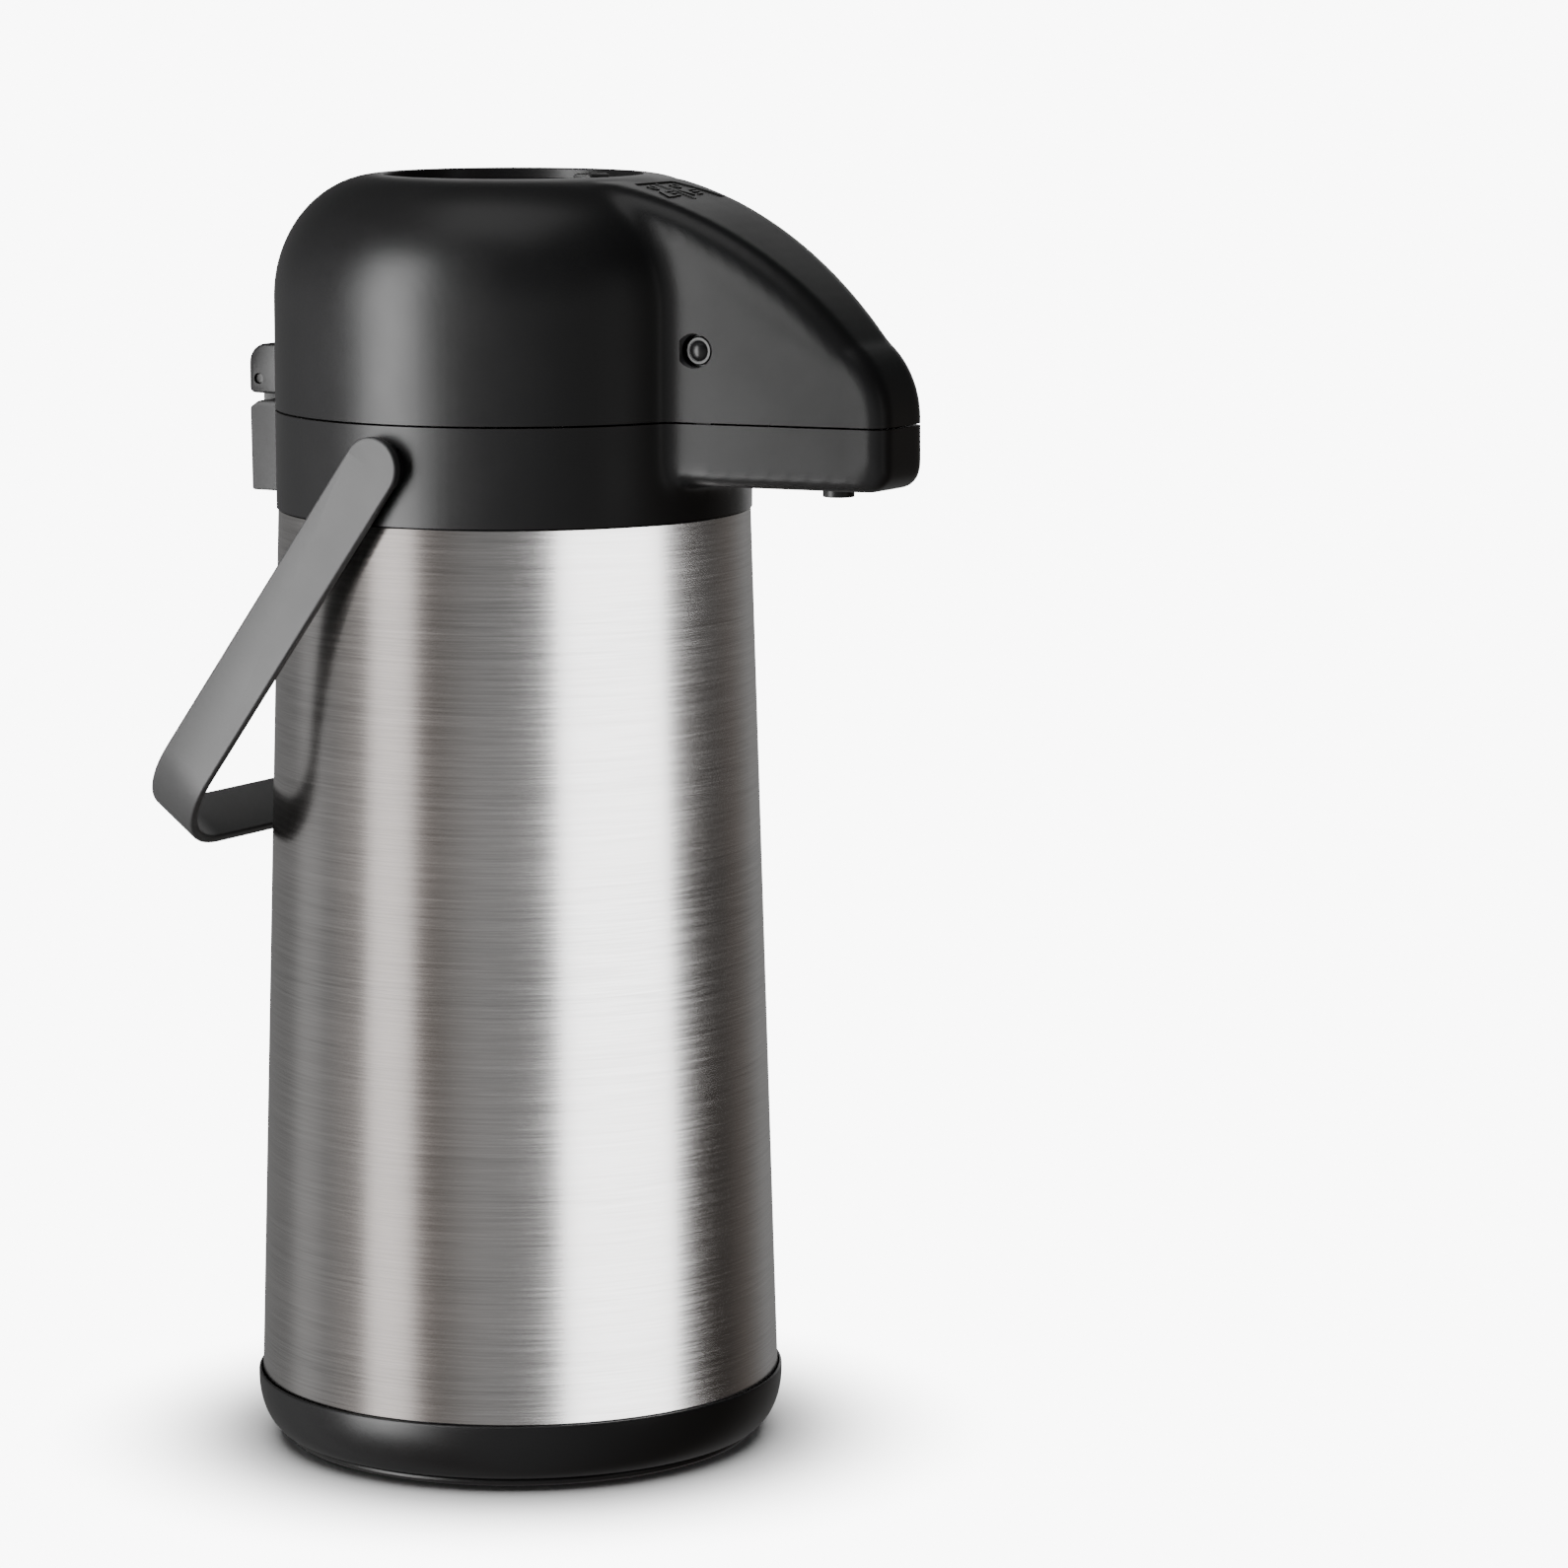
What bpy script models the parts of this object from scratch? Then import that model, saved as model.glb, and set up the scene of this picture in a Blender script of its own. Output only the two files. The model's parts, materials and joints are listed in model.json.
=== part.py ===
"""Thermal coffee airpot: a vacuum pot with a bellows pump in its hinged lid.

Metres, +Z up, spout along +X. The origin is on the pot's axis at the floor.
Each object is one piece. Empties stand on the joint axes and carry the pieces that move with them.
Helpers that cut or join have hide_render set and are drawn as wires.
"""

import math

import bmesh
import bpy
from mathutils import Matrix, Vector

MM = 0.001

# Clearances
FIT = 0.3 * MM  # between pieces that touch
SLIDE = 0.5 * MM  # between pieces that slide or turn on each other
SEAM = 0.6 * MM  # visible line between lid and collar
EPS = 1.0 * MM  # how far a cutter runs past a face

# Foot and base
FOOT_INSET = 2.5 * MM  # foot's edge inside the base ring's lower edge
FOOT_UNDERSIDE = 0.8 * MM
FOOT_PLATE = 2.4 * MM
HUB_PAD_R = 12.0 * MM
SWIVEL_POST_R = 7.0 * MM
FOOT_RING_INSET = 7.0 * MM  # middle of the rubber ring inside the foot's edge
FOOT_RING_WIDTH = 5.0 * MM
BASE_HEIGHT = 17.2 * MM
BASE_LIP = 1.3 * MM  # how far the base ring stands out from the steel
BASE_FLOOR = 2.4 * MM
BASE_BOTTOM_INSET = 5.8 * MM  # the base curves in by this much
SWIVEL_WASHER_R = 12.0 * MM

# Steel body
STEEL_HEIGHT = 260.6 * MM
STEEL_FLARE = 7.9 * MM  # how much wider the steel is at the bottom, in radius
STEEL_STEP = 0.5 * MM  # steel inside the collar's face
STEEL_WALL = 0.8 * MM
STEEL_TUCK = 7.0 * MM  # length of steel hidden in the base ring
VACUUM_GAP = 4.4 * MM
VESSEL_FLOOR_GAP = 10.5 * MM
VESSEL_CORNER = 10.0 * MM
SHOULDER_HEIGHT = 20.0 * MM
NECK_R = 41.0 * MM  # inside of the inner vessel's neck
NECK_RISE = 14.3 * MM

# Collar
COLLAR_R = 70.6 * MM
COLLAR_HEIGHT = 28.8 * MM
SHELL = 2.5 * MM  # wall of the black mouldings
DECK = 1.7 * MM
MOUTH_DROP = 4.2 * MM  # mouth ring's top below the collar's top edge
MOUTH_RING_R = 48.0 * MM
FILL_HOLE_R = 27.0 * MM
FILL_HOLE_X = -5.0 * MM
TUBE_X = 31.0 * MM

# Tube, valve and outlet
TUBE_R = 3.0 * MM
TUBE_BORE = 2.1 * MM
PIPE_RISE = 4.1 * MM  # pipe's axis above the mouth ring's underside
VALVE_BALL_R = 3.8 * MM
VALVE_TRAVEL = 3.0 * MM
NOZZLE_R = 4.6 * MM
NOZZLE_SETBACK = 21.7 * MM  # from the spout's tip

# Spout
SPOUT_REACH = 61.9 * MM  # beyond the collar
SPOUT_TIP_HALF = 13.5 * MM
SPOUT_TAPER = 0.148  # widening per length, each side
SPOUT_DROP = 18.2 * MM  # lower half's depth below the seam
SPOUT_FLOOR = 2.2 * MM
SPOUT_EDGE = 5.5 * MM  # rounding of the spout's upright corners and lower edges
SPOUT_TOE = 6.5 * MM  # rounding under the tip
SPOUT_SHOULDER = 7.5 * MM  # rounding along the spout's back
SPOUT_NOSE = 26.0 * MM  # height over which the rounding grows

# Lid
LID_HEIGHT = 68.7 * MM
DOME_STRAIGHT = 32.7 * MM  # upright part of the dome's side
WELL_R = 38.4 * MM
RIM_EDGE = 0.6 * MM  # flat ring round the well
SLEEVE_WALL = 2.0 * MM
SLEEVE_DEPTH = 35.0 * MM
LID_BASE_PLATE = 2.4 * MM

# Pump
BUTTON_TRAVEL = 24.0 * MM
BUTTON_SINK = 3.0 * MM
BUTTON_DISH = 5.5 * MM
BUTTON_WALL = 1.7 * MM
PUMP_PLATE_INSET = 1.0 * MM  # pump plate inside the bellows' folds
PUMP_PLATE = 2.4 * MM
BELLOWS_INSET = 3.9 * MM  # bellows' folds inside the well's wall
BELLOWS_FOLD = 4.5 * MM
BELLOWS_FOLDS = 4
BELLOWS_WALL = 1.1 * MM
SPRING_R = 14.0 * MM
SPRING_WIRE = 0.9 * MM
SPRING_TURNS = 5

# Lock and release
LOCK_TRAVEL = 4.5 * MM
LOCK_HALF = 6.5 * MM
LOCK_LENGTH = 21.5 * MM
LOCK_TONGUE = 0.9 * MM  # tongue's end inside the well's wall
LOCK_KNOB_IN = 7.0 * MM  # knob's outer edge inside the well's wall
LOCK_KNOB = 8.0 * MM
RELEASE_X = 5.4 * MM  # beyond the collar
RELEASE_RISE = 20.5 * MM  # above the seam
RELEASE_R = 4.1 * MM
RELEASE_HOLE_R = 4.8 * MM
RELEASE_TRAVEL = 2.6 * MM

# Hinge
HINGE_OUT = 9.9 * MM  # pin's axis beyond the collar
HINGE_RISE = 6.1 * MM  # pin's axis above the lid's lower edge
HINGE_HALF = 17.0 * MM
LUG_HALF = 8.9 * MM
PIN_R = 1.5 * MM
KNUCKLE_BACK = 3.5 * MM
KNUCKLE_UP = 10.6 * MM
KNUCKLE_DOWN = 4.4 * MM
BRACKET_DROP = 27.0 * MM
BRACKET_SCREW_DROP = 12.5 * MM  # below the collar's top edge
BRACKET_SCREW_Y = 9.0 * MM
BRACKET_SCREW_R = 1.5 * MM
PIN_PLAY = 0.15 * MM

# Handle
PIVOT_DROP = 12.3 * MM  # below the lid's lower edge
STRAP_GAP = 2.6 * MM  # from the collar to the strap
STRAP = 3.0 * MM
STRAP_HALF = 8.9 * MM
STRAP_REACH = 140.0 * MM
STRAP_BEND = 28.0 * MM
STRAP_REST = 0.6 * MM  # from the grip to the steel
PEG_R = 3.6 * MM

# Pieces with a long chain of cuts and joins
MANY_CUTS = ("collar", "lid_cover")

# Facets
ROUND = 32
FINE = 16
SMALL = 8
SHARP = math.radians(35)  # faces that meet at more than this keep a hard edge

# Heights that follow
FOOT_TOP = FOOT_UNDERSIDE + FOOT_PLATE
BASE_BOTTOM = FOOT_TOP + SLIDE
BASE_TOP = BASE_BOTTOM + BASE_HEIGHT
STEEL_TOP = BASE_TOP + STEEL_HEIGHT
COLLAR_BOTTOM = STEEL_TOP + FIT
COLLAR_TOP = COLLAR_BOTTOM + COLLAR_HEIGHT
LID_BOTTOM = COLLAR_TOP + SEAM
RIM = LID_BOTTOM + LID_HEIGHT
NECK_TOP = STEEL_TOP + NECK_RISE
GASKET_TOP = NECK_TOP + FIT + 1.8 * MM
MOUTH_BOTTOM = GASKET_TOP + FIT
MOUTH_TOP = COLLAR_TOP - MOUTH_DROP
PIPE_Z = MOUTH_BOTTOM + PIPE_RISE
LID_BASE_BOTTOM = COLLAR_TOP - 0.5 * MM
LID_BASE_TOP = LID_BASE_BOTTOM + LID_BASE_PLATE
PLATE_BOTTOM = RIM - SLEEVE_DEPTH - 1.0 * MM
STEEL_TOP_R = COLLAR_R - STEEL_STEP
STEEL_TAPER = STEEL_FLARE / STEEL_HEIGHT
BASE_TOP_R = STEEL_TOP_R + (STEEL_TOP - BASE_TOP) * STEEL_TAPER + BASE_LIP
FOOT_R = BASE_TOP_R - BASE_BOTTOM_INSET - FOOT_INSET
FOOT_RING_R = FOOT_R - FOOT_RING_INSET
RIM_R = WELL_R + RIM_EDGE
BELLOWS_R = WELL_R - BELLOWS_INSET
PUMP_PLATE_R = BELLOWS_R - PUMP_PLATE_INSET
TIP_X = COLLAR_R + SPOUT_REACH
NOZZLE_X = TIP_X - NOZZLE_SETBACK
PIVOT_Z = LID_BOTTOM - PIVOT_DROP
HINGE_X = -(COLLAR_R + HINGE_OUT)
HINGE_Z = LID_BOTTOM + HINGE_RISE


def steel_r(z):
    """Outer radius of the steel at a height."""
    return STEEL_TOP_R + (STEEL_TOP - z) * STEEL_TAPER


def spout_half(x):
    """Half width of the spout at a distance from the axis."""
    return SPOUT_TIP_HALF + (TIP_X - x) * SPOUT_TAPER


# Scene helpers


def clear_scene():
    for obj in list(bpy.data.objects):
        bpy.data.objects.remove(obj)


def finish(name, color, roughness, metallic=0.0):
    material = bpy.data.materials.new(name)
    material.use_nodes = True
    shader = material.node_tree.nodes["Principled BSDF"]
    shader.inputs["Base Color"].default_value = (*color, 1.0)
    shader.inputs["Roughness"].default_value = roughness
    shader.inputs["Metallic"].default_value = metallic
    return material


def axis_empty(name, location, parent=None):
    """An empty on a joint's axis."""
    empty = bpy.data.objects.new(name, None)
    empty.empty_display_size = 20 * MM
    bpy.context.scene.collection.objects.link(empty)
    empty.location = Vector(location)
    if parent:
        empty.parent = parent
        empty.location -= world_place(parent)
    return empty


def world_place(empty):
    place = Vector(empty.location)
    return place + world_place(empty.parent) if empty.parent else place


def add(name, mesh, material, body, location=(0, 0, 0), rotation=(0, 0, 0)):
    """A piece, placed in world coordinates and carried by its body's empty."""
    obj = bpy.data.objects.new(name, mesh)
    bpy.context.scene.collection.objects.link(obj)
    obj.location = location
    obj.rotation_euler = rotation
    if material:
        mesh.materials.append(material)
    if body:
        obj.parent = body
        obj.matrix_parent_inverse = Matrix.Translation(-world_place(body))
    return obj


def helper(name, mesh, location=(0, 0, 0), rotation=(0, 0, 0)):
    """A cutter or an addition: it isn't a piece."""
    obj = add(name, mesh, None, None, location, rotation)
    obj.hide_render = True
    obj.display_type = "WIRE"
    return obj


def boolean(obj, other, operation):
    modifier = obj.modifiers.new(other.name, "BOOLEAN")
    modifier.operation = operation
    modifier.object = other
    if obj.name in MANY_CUTS:
        modifier.solver = "MANIFOLD"  # the exact solver leaves open edges after this many cuts
    return obj


def cut(obj, *cutters):
    for cutter in cutters:
        boolean(obj, cutter, "DIFFERENCE")
    return obj


def join(obj, *others):
    for other in others:
        boolean(obj, other, "UNION")
    return obj


# Shapes


def mesh_of(name, shape, smooth=True):
    bmesh.ops.remove_doubles(shape, verts=shape.verts, dist=0.001 * MM)
    bmesh.ops.recalc_face_normals(shape, faces=shape.faces)
    mesh = bpy.data.meshes.new(name)
    shape.to_mesh(mesh)
    shape.free()
    if smooth:
        mesh.shade_smooth()
        mesh.set_sharp_from_angle(angle=SHARP)
    return mesh


def turned(name, outline, steps=ROUND):
    """A solid of revolution about Z. An outline that starts and ends on the axis is left open there."""
    shape = bmesh.new()
    verts = [shape.verts.new((r, 0, z)) for r, z in outline]
    edges = [shape.edges.new(pair) for pair in zip(verts, verts[1:])]
    if outline[0][0] or outline[-1][0]:
        edges.append(shape.edges.new((verts[-1], verts[0])))
    bmesh.ops.spin(
        shape,
        geom=verts + edges,
        cent=(0, 0, 0),
        axis=(0, 0, 1),
        angle=math.tau,
        steps=steps,
        use_merge=True,
    )
    return mesh_of(name, shape)


def ring(name, inner, outer, low, high, steps=ROUND):
    return turned(name, [(inner, low), (outer, low), (outer, high), (inner, high)], steps)


def rod(name, radius, low, high, steps=FINE):
    return turned(name, [(0, low), (radius, low), (radius, high), (0, high)], steps)


def box(name, low, high):
    shape = bmesh.new()
    bmesh.ops.create_cube(shape, size=1)
    size = [b - a for a, b in zip(low, high)]
    middle = [(a + b) / 2 for a, b in zip(low, high)]
    bmesh.ops.scale(shape, vec=size, verts=shape.verts)
    bmesh.ops.translate(shape, vec=middle, verts=shape.verts)
    return mesh_of(name, shape, smooth=False)


def slab(name, outline, half):
    """An outline of (x, z) points made into a solid across Y. half is a width or a function of x."""
    shape = bmesh.new()
    side = half if callable(half) else lambda x: half
    near = [shape.verts.new((x, -side(x), z)) for x, z in outline]
    far = [shape.verts.new((x, side(x), z)) for x, z in outline]
    shape.faces.new(near)
    shape.faces.new(far)
    for i in range(len(outline)):
        j = (i + 1) % len(outline)
        shape.faces.new((near[i], near[j], far[j], far[i]))
    return shape


def arc(centre, radius, start, end, steps):
    """Points on a circle, or on an ellipse where radius is a pair. Angles in degrees."""
    across, up = radius if isinstance(radius, tuple) else (radius, radius)
    turns = [math.radians(start + (end - start) * i / steps) for i in range(steps + 1)]
    return [(centre[0] + across * math.cos(t), centre[1] + up * math.sin(t)) for t in turns]


def arc_through(first, middle, last, steps):
    """Points on the circle through three points, from first to last."""
    (ax, ay), (bx, by), (cx, cy) = first, middle, last
    d = 2 * (ax * (by - cy) + bx * (cy - ay) + cx * (ay - by))
    a2, b2, c2 = ax * ax + ay * ay, bx * bx + by * by, cx * cx + cy * cy
    centre = (
        (a2 * (by - cy) + b2 * (cy - ay) + c2 * (ay - by)) / d,
        (a2 * (cx - bx) + b2 * (ax - cx) + c2 * (bx - ax)) / d,
    )
    radius = math.dist(first, centre)
    start = math.degrees(math.atan2(ay - centre[1], ax - centre[0]))
    end = math.degrees(math.atan2(cy - centre[1], cx - centre[0]))
    return arc(centre, radius, start, end, steps)


def coil(name, radius, wire, low, high, turns, steps=10):
    """A wire helix about Z with closed flat ends."""
    curve = bpy.data.curves.new(name, "CURVE")
    curve.dimensions = "3D"
    curve.bevel_depth = wire
    curve.bevel_resolution = 1
    curve.use_fill_caps = True
    spline = curve.splines.new("POLY")
    count = turns * steps
    spline.points.add(count)
    for i, point in enumerate(spline.points):
        t = math.tau * i / steps
        z = low + (high - low) * i / count
        point.co = (radius * math.cos(t), radius * math.sin(t), z, 1)
    return curve


def screw(name, head_r, head, shank_r, shank):
    """A pan head screw: the head's underside is at Z 0 and the shank runs up."""
    return turned(
        name,
        [
            (0, -head),
            (head_r * 0.7, -head),
            (head_r, -head * 0.5),
            (head_r, 0),
            (shank_r, 0),
            (shank_r, shank),
            (0, shank),
        ],
        SMALL,
    )


# Foot and base


def build_foot(foot, black, rubber, steel):
    pad_top = FOOT_UNDERSIDE
    ring_low = FOOT_RING_R - FOOT_RING_WIDTH / 2
    ring_high = FOOT_RING_R + FOOT_RING_WIDTH / 2
    groove = FOOT_UNDERSIDE + 1.0 * MM
    post_top = BASE_BOTTOM + BASE_FLOOR + SLIDE
    outline = [
        (0, 0),
        (HUB_PAD_R, 0),
        (HUB_PAD_R + pad_top, pad_top),
        (ring_low - FIT, pad_top),
        (ring_low - FIT, groove),
        (ring_high + FIT, groove),
        (ring_high + FIT, pad_top),
        (FOOT_R - 1.0 * MM, pad_top),
        (FOOT_R, pad_top + 0.8 * MM),
        (FOOT_R, FOOT_TOP - 0.6 * MM),
        (FOOT_R - 0.6 * MM, FOOT_TOP),
        (SWIVEL_POST_R, FOOT_TOP),
        (SWIVEL_POST_R, post_top),
        (0, post_top),
    ]
    body = add("swivel_foot", turned("swivel_foot", outline), black, foot)
    shank_r = 1.8 * MM
    bore = helper("cut_post_bore", rod("cut_post_bore", shank_r + FIT, 1.4 * MM, post_top + EPS, SMALL))
    cut(body, bore)
    rubber_ring = ring("foot_ring", ring_low, ring_high, 0, groove - FIT)
    add("foot_ring", rubber_ring, rubber, foot)
    washer_low = post_top + FIT
    washer_high = washer_low + 1.2 * MM
    washer = ring("swivel_washer", shank_r + FIT, SWIVEL_WASHER_R, washer_low, washer_high, FINE)
    add("swivel_washer", washer, steel, foot)
    head_low = washer_high + FIT
    fastener = screw("swivel_screw", 4.0 * MM, 2.0 * MM, shank_r, head_low - 2.0 * MM)
    add("swivel_screw", fastener, steel, foot, (0, 0, head_low), (math.pi, 0, 0))


def build_base(pot, black):
    steel_end = BASE_TOP - STEEL_TUCK
    inner_r = steel_r(steel_end) + FIT
    ledge = steel_end - FIT
    low_r = BASE_TOP_R - BASE_BOTTOM_INSET
    curve = arc((low_r - 6 * MM, BASE_TOP), (6 * MM + BASE_BOTTOM_INSET, BASE_HEIGHT), -66, 0, 7)
    floor_low = BASE_BOTTOM + 0.5 * MM
    floor_high = floor_low + BASE_FLOOR
    hub_r = SWIVEL_POST_R + SLIDE
    outline = [
        (hub_r, floor_low),
        (low_r - 7 * MM, floor_low),
        (low_r - 6 * MM, BASE_BOTTOM),
        *[(r, max(z, BASE_BOTTOM)) for r, z in curve],
        (inner_r, BASE_TOP),
        (inner_r, ledge),
        (inner_r - 4 * MM, ledge),
        (inner_r - 4 * MM, ledge - 2 * MM),
        (low_r - 4.5 * MM, floor_high),
        (hub_r, floor_high),
    ]
    add("base_ring", turned("base_ring", outline), black, pot)


# Steel body


def build_steel(pot, brushed, steel):
    shell_low = BASE_TOP - STEEL_TUCK
    ledge_r = COLLAR_R - SHELL - 1.6 * MM
    shoulder = NECK_R + 2 * STEEL_WALL + 0.6 * MM
    outer = [
        (steel_r(shell_low), shell_low),
        (STEEL_TOP_R, STEEL_TOP),
        (ledge_r, STEEL_TOP),
        (shoulder + 3 * MM, STEEL_TOP + 8.5 * MM),
        (shoulder, STEEL_TOP + 10 * MM),
        (shoulder, NECK_TOP),
    ]
    wall = [
        (shoulder - STEEL_WALL, NECK_TOP),
        (shoulder - STEEL_WALL, STEEL_TOP + 9.4 * MM),
        (shoulder + 2.7 * MM, STEEL_TOP + 7.7 * MM),
        (ledge_r - 0.2 * MM, STEEL_TOP - STEEL_WALL),
        (STEEL_TOP_R - STEEL_WALL, STEEL_TOP - STEEL_WALL),
        (steel_r(shell_low) - STEEL_WALL, shell_low),
    ]
    add("outer_shell", turned("outer_shell", outer + wall), brushed, pot)

    cap_r = steel_r(shell_low) - STEEL_WALL - 0.5 * MM
    cap_low = shell_low + 1.2 * MM
    getter_hole = 5.0 * MM
    outline = [
        (getter_hole, cap_low),
        (cap_r - 2 * MM, cap_low),
        (cap_r, cap_low + 1.5 * MM),
        (cap_r, cap_low + 5 * MM),
        (cap_r - STEEL_WALL, cap_low + 5 * MM),
        (cap_r - STEEL_WALL, cap_low + 1.9 * MM),
        (cap_r - 2.5 * MM, cap_low + STEEL_WALL),
        (getter_hole, cap_low + STEEL_WALL),
    ]
    add("outer_bottom", turned("outer_bottom", outline), steel, pot)
    cup = [
        (0, cap_low - 2.2 * MM),
        (8 * MM, cap_low - 2.2 * MM),
        (9 * MM, cap_low - 1.2 * MM),
        (12 * MM, cap_low - 1.2 * MM),
        (12 * MM, cap_low - FIT),
        (0, cap_low - FIT),
    ]
    add("getter_cap", turned("getter_cap", cup, FINE), steel, pot)

    vessel_r = STEEL_TOP_R - STEEL_WALL - VACUUM_GAP
    floor = cap_low + VESSEL_FLOOR_GAP
    shoulder_low = STEEL_TOP - SHOULDER_HEIGHT
    neck_outer = NECK_R + STEEL_WALL
    corner = arc((vessel_r - VESSEL_CORNER, floor + VESSEL_CORNER), VESSEL_CORNER, -90, 0, 4)
    inner = arc((vessel_r - VESSEL_CORNER, floor + VESSEL_CORNER), VESSEL_CORNER - STEEL_WALL, 0, -90, 4)
    outline = [
        (0, floor),
        *corner,
        (vessel_r, shoulder_low),
        (vessel_r - 4 * MM, shoulder_low + 7 * MM),
        (neck_outer + 2 * MM, STEEL_TOP - 0.5 * MM),
        (neck_outer, STEEL_TOP + 2 * MM),
        (neck_outer, NECK_TOP),
        (NECK_R, NECK_TOP),
        (NECK_R, STEEL_TOP + 1.8 * MM),
        (NECK_R + 1.7 * MM, STEEL_TOP - 1.2 * MM),
        (vessel_r - 4.6 * MM, shoulder_low + 6.3 * MM),
        (vessel_r - STEEL_WALL, shoulder_low - 0.3 * MM),
        *inner,
        (0, floor + STEEL_WALL),
    ]
    add("inner_vessel", turned("inner_vessel", outline), steel, pot)
    return floor + STEEL_WALL


# Mouth, tube and outlet


def build_mouth(pot, black, silicone):
    lip_in = NECK_R - 0.1 * MM
    lip_out = NECK_R + 2 * STEEL_WALL + 2.6 * MM
    add("mouth_gasket", ring("mouth_gasket", lip_in, lip_out, NECK_TOP + FIT, GASKET_TOP), silicone, pot)

    skirt_r = NECK_R - 0.5 * MM
    skirt_low = MOUTH_BOTTOM - 14.2 * MM
    outline = [
        (0, skirt_low),
        (skirt_r, skirt_low),
        (skirt_r, MOUTH_BOTTOM),
        (MOUTH_RING_R, MOUTH_BOTTOM),
        (MOUTH_RING_R, MOUTH_TOP - 1.0 * MM),
        (MOUTH_RING_R - 1.0 * MM, MOUTH_TOP),
        (0, MOUTH_TOP),
    ]
    body = add("mouth_ring", turned("mouth_ring", outline), black, pot)
    pocket_top = MOUTH_BOTTOM - 2 * MM
    pocket = helper(
        "cut_mouth_pocket", rod("cut_mouth_pocket", skirt_r - SHELL, skirt_low - EPS, pocket_top, ROUND)
    )
    wall = rod("keep_fill_wall", FILL_HOLE_R + 2 * MM, skirt_low - 3 * EPS, MOUTH_TOP, ROUND)
    boss = rod("keep_tube_boss", 7.5 * MM, skirt_low - 3 * EPS, MOUTH_TOP, FINE)
    cut(
        pocket,
        helper("keep_fill_wall", wall, (FILL_HOLE_X, 0, 0)),
        helper("keep_tube_boss", boss, (TUBE_X, 0, 0)),
    )
    hole = rod("cut_fill_hole", FILL_HOLE_R, skirt_low - 2 * EPS, MOUTH_TOP + EPS, ROUND)
    bore_r = TUBE_R + 0.7 * MM + FIT
    upright = rod("cut_tube_bore", bore_r, skirt_low - 2 * EPS, PIPE_Z, FINE)
    across = rod("cut_pipe_bore", TUBE_R + FIT, 0, MOUTH_RING_R - TUBE_X + EPS, FINE)
    cut(
        body,
        pocket,
        helper("cut_fill_hole", hole, (FILL_HOLE_X, 0, 0)),
        helper("cut_tube_bore", upright, (TUBE_X, 0, 0)),
        helper("cut_pipe_bore", across, (TUBE_X, 0, PIPE_Z), (0, math.pi / 2, 0)),
    )
    return skirt_low


def build_tube(pot, skirt_low, vessel_floor, materials):
    """The valve housing, its ball, the dip tube and their seal, all about the tube's own axis."""
    black, clear, silicone, steel = materials
    nipple_r = TUBE_R + 0.7 * MM
    seat_r = 2.6 * MM
    chamber_r = 5.0 * MM
    body_r = 7.0 * MM
    body_top = skirt_low - FIT - 1.6 * MM
    chamber_top = body_top - 3 * MM
    chamber_low = chamber_top - 14 * MM
    socket_top = chamber_low - 3 * MM
    body_low = socket_top - 7 * MM
    socket_r = TUBE_R + FIT
    outline = [
        (socket_r, body_low),
        (body_r - 1.5 * MM, body_low),
        (body_r, chamber_low - 2 * MM),
        (body_r, body_top),
        (nipple_r, body_top),
        (nipple_r, body_top + 10 * MM),
        (seat_r, body_top + 10 * MM),
        (seat_r, chamber_top),
        (chamber_r, chamber_top),
        (chamber_r, chamber_low),
        (seat_r, chamber_low),
        (seat_r, socket_top),
        (socket_r, socket_top),
    ]
    place = (TUBE_X, 0, 0)
    add("valve_housing", turned("valve_housing", outline, FINE), black, pot, place)
    seal = ring("tube_seal", nipple_r + FIT, nipple_r + 2.2 * MM, body_top + FIT, skirt_low - FIT, FINE)
    add("tube_seal", seal, silicone, pot, place)

    centre = chamber_low + math.sqrt(VALVE_BALL_R**2 - seat_r**2) + FIT
    axis = axis_empty("ball_axis", (TUBE_X, 0, centre), pot)
    shape = bmesh.new()
    bmesh.ops.create_uvsphere(shape, u_segments=16, v_segments=10, radius=VALVE_BALL_R)
    add("valve_ball", mesh_of("valve_ball", shape), steel, axis, (TUBE_X, 0, centre))

    tube_top = socket_top - FIT
    tube_low = vessel_floor + 6 * MM
    add("dip_tube", ring("dip_tube", TUBE_BORE, TUBE_R, tube_low, tube_top, FINE), clear, pot, place)


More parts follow.
